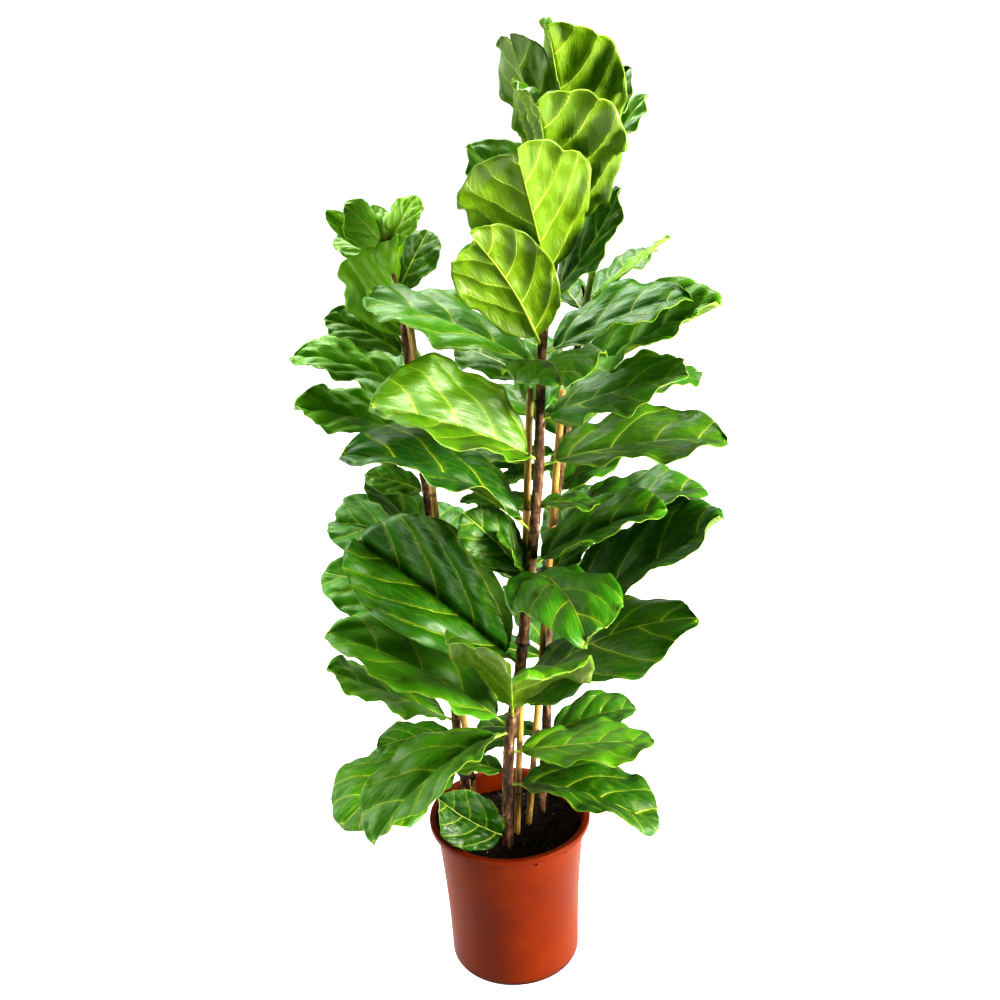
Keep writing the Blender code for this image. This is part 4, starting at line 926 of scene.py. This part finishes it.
mixSkins = {
    # damp peat: nearly black and quite matt, crumbs of about 4 mm
    "pottingMixPeat": {"stops": [(0.3, "#0b0705"), (0.55, "#1d130c"), (0.72, "#3a281b")],
                       "grain": {"Scale": 260.0, **mixGrain}},
    # composted bark: dark brown chips with paler broken faces
    "compostedBark": {"stops": [(0.35, "#1a100a"), (0.6, "#3c2819"), (0.8, "#6b5138")],
                      "grain": {"Scale": 420.0, **mixGrain}},
    # perlite: dusty off-white grains
    "perliteGrit": {"stops": [(0.3, "#8f8672"), (0.7, "#d8d2c2")],
                    "grain": {"Scale": 500.0, **mixGrain}},
}
finishes = {name: speckledSkin(name, **skin) for name, skin in skins.items()}
finishes.update({name: speckledSkin(name, roughness=0.95, relief=mixRelief, **skin)
                 for name, skin in mixSkins.items()})
print("finishes made:", len(finishes))


# build

stems = {"front": frontStem, "left": leftStem, "right": rightStem}
leafMaterials = [leafSurface("figLeafUpper", leafTones["upper"]),
                 leafSurface("figLeafUnder", leafTones["under"]), finishes["leafMarginCuticle"]]
bark = figBark()
for side, stem in stems.items():
    node, label, path = "leafy_stem_" + side, side.capitalize(), stem["path"]
    leaves = [dict(zip(leafFields, row)) for row in stem["leaves"]]
    makeStem("stem" + label, path, leaves, node, bark)
    makeStalks("stalks" + label, path, leaves, node, finishes["leafStalkSkin"])
    makeStipules("stipules" + label, path, node, finishes["dryStipule"])
    for seed, leaf in enumerate(leaves):
        makeLeaf("leaf%s%02d" % (label, seed + 1), path, leaf, seed, node, leafMaterials)
    print("stem", side, "with", len(leaves), "leaves")

bamboo = driedBamboo()
for side in canes:
    makeCane(side, bamboo)
for node, height, stem, held in ties["places"]:
    makeTie(node, height, stem, held, finishes["blackPvcWire"])
print("canes and ties made")

makeSoil(finishes["pottingMixPeat"])
makeCrumbs("barkCrumbs", soilForm["bark"], finishes["compostedBark"])
makeCrumbs("gritCrumbs", soilForm["grit"], finishes["perliteGrit"])
makePot(terracottaPolypropylene())
print("soil and pot made")


# camera, light and floor

view = {
    "place": (0.008, -1.775, 1.517), "down": 21.05, "roll": 2.65,  # metres and degrees
    "lens": 45.0, "sensor": 36.0,  # millimetres
}


def makeCamera():
    data = bpy.data.cameras.new("camera")
    data.lens = view["lens"]
    data.sensor_width = view["sensor"]
    camera = addObject("camera", data)
    down, roll = math.radians(view["down"]), math.radians(view["roll"])
    right, up = Vector((1, 0, 0)), Vector((0, math.sin(down), math.cos(down)))
    forward = Vector((0, math.cos(down), -math.sin(down)))
    turnedRight = math.cos(roll) * right - math.sin(roll) * up
    turnedUp = math.cos(roll) * up + math.sin(roll) * right
    matrix = camera.matrix_world.copy()
    for row in range(3):
        matrix[row] = (turnedRight[row], turnedUp[row], -forward[row], view["place"][row])
    camera.matrix_world = matrix
    bpy.context.scene.camera = camera


lamps = {
    "key": {"place": (2.2, -1.15, 1.05), "aim": (0.03, 0, 0.95), "size": 1.3, "power": 175,
            "colour": "#fffaf0"},
    "left": {"place": (-2.1, 0.3, 1.7), "aim": (0.03, 0, 0.95), "size": 2.0, "power": 50,
             "colour": "#ffffff"},
    "top": {"place": (-0.3, 1.2, 3.1), "aim": (0.03, 0, 0.95), "size": 2.0, "power": 88,
            "colour": "#ffffff"},
    "low": {"place": (-1.5, -2.1, 0.30), "aim": (0.03, 0, 0.05), "size": 0.7, "power": 20,
            "colour": "#ffffff"},
}
# how bright the room is before and behind the plant, and between which directions it changes
room = {"front": 0.06, "back": 0.44, "from": -0.3, "to": 0.7, "white": "#ffffff"}


def makeLights():
    for name, lamp in lamps.items():
        data = bpy.data.lights.new(name, "AREA")
        data.shape = "DISK"
        data.size = lamp["size"]
        data.energy = lamp["power"]
        data.color = linearTone(lamp["colour"])[:3]
        light = addObject(name, data)
        light.location = lamp["place"]
        light.rotation_mode = "QUATERNION"
        way = Vector(lamp["aim"]) - Vector(lamp["place"])
        light.rotation_quaternion = way.to_track_quat("-Z", "Y")
    world = bpy.data.worlds.new("studio")
    bpy.context.scene.world = world
    world.use_nodes = True
    tree = world.node_tree
    tree.nodes.clear()
    way = addNode(tree, "ShaderNodeTexCoord")
    parts = addNode(tree, "ShaderNodeSeparateXYZ", {}, {"Vector": way.outputs["Generated"]})
    level = addNode(tree, "ShaderNodeMapRange", {"interpolation_type": "SMOOTHSTEP",
                    "From Min": room["from"], "From Max": room["to"], "To Min": room["front"],
                    "To Max": room["back"]}, {"Value": parts.outputs["Y"]})
    path = addNode(tree, "ShaderNodeLightPath")
    around = addNode(tree, "ShaderNodeBackground", {"Color": room["white"]},
                     {"Strength": level.outputs["Result"]})
    behind = addNode(tree, "ShaderNodeBackground", {"Color": room["white"], "Strength": 1.0})
    both = addNode(tree, "ShaderNodeMixShader", {}, {0: path.outputs["Is Camera Ray"],
                   1: around.outputs[0], 2: behind.outputs[0]})
    addNode(tree, "ShaderNodeOutputWorld", {}, {"Surface": both.outputs[0]})


floorForm = {"half": 40, "drop": 0.0005, "tone": "#f0f0f0", "lift": 0.62, "roughness": 0.9}


def makeFloor():
    material, tree = newMaterial("paleStudioFloor")
    sheet = addNode(tree, "ShaderNodeBsdfPrincipled", {"Base Color": floorForm["tone"],
                    "Roughness": floorForm["roughness"], "Emission Color": "#ffffff",
                    "Emission Strength": floorForm["lift"]})
    addNode(tree, "ShaderNodeOutputMaterial", {}, {"Surface": sheet.outputs[0]})
    half, z = floorForm["half"], -floorForm["drop"]
    floor = newMesh("floor", [(-half, -half, z), (half, -half, z), (half, half, z), (-half, half, z)],
                    [(0, 1, 2, 3)], [material])
    floor.visible_diffuse = False


makeCamera()
makeLights()
makeFloor()
bpy.context.scene.view_settings.view_transform = "Standard"
bpy.context.scene.view_settings.look = "High Contrast"
print("stage set")
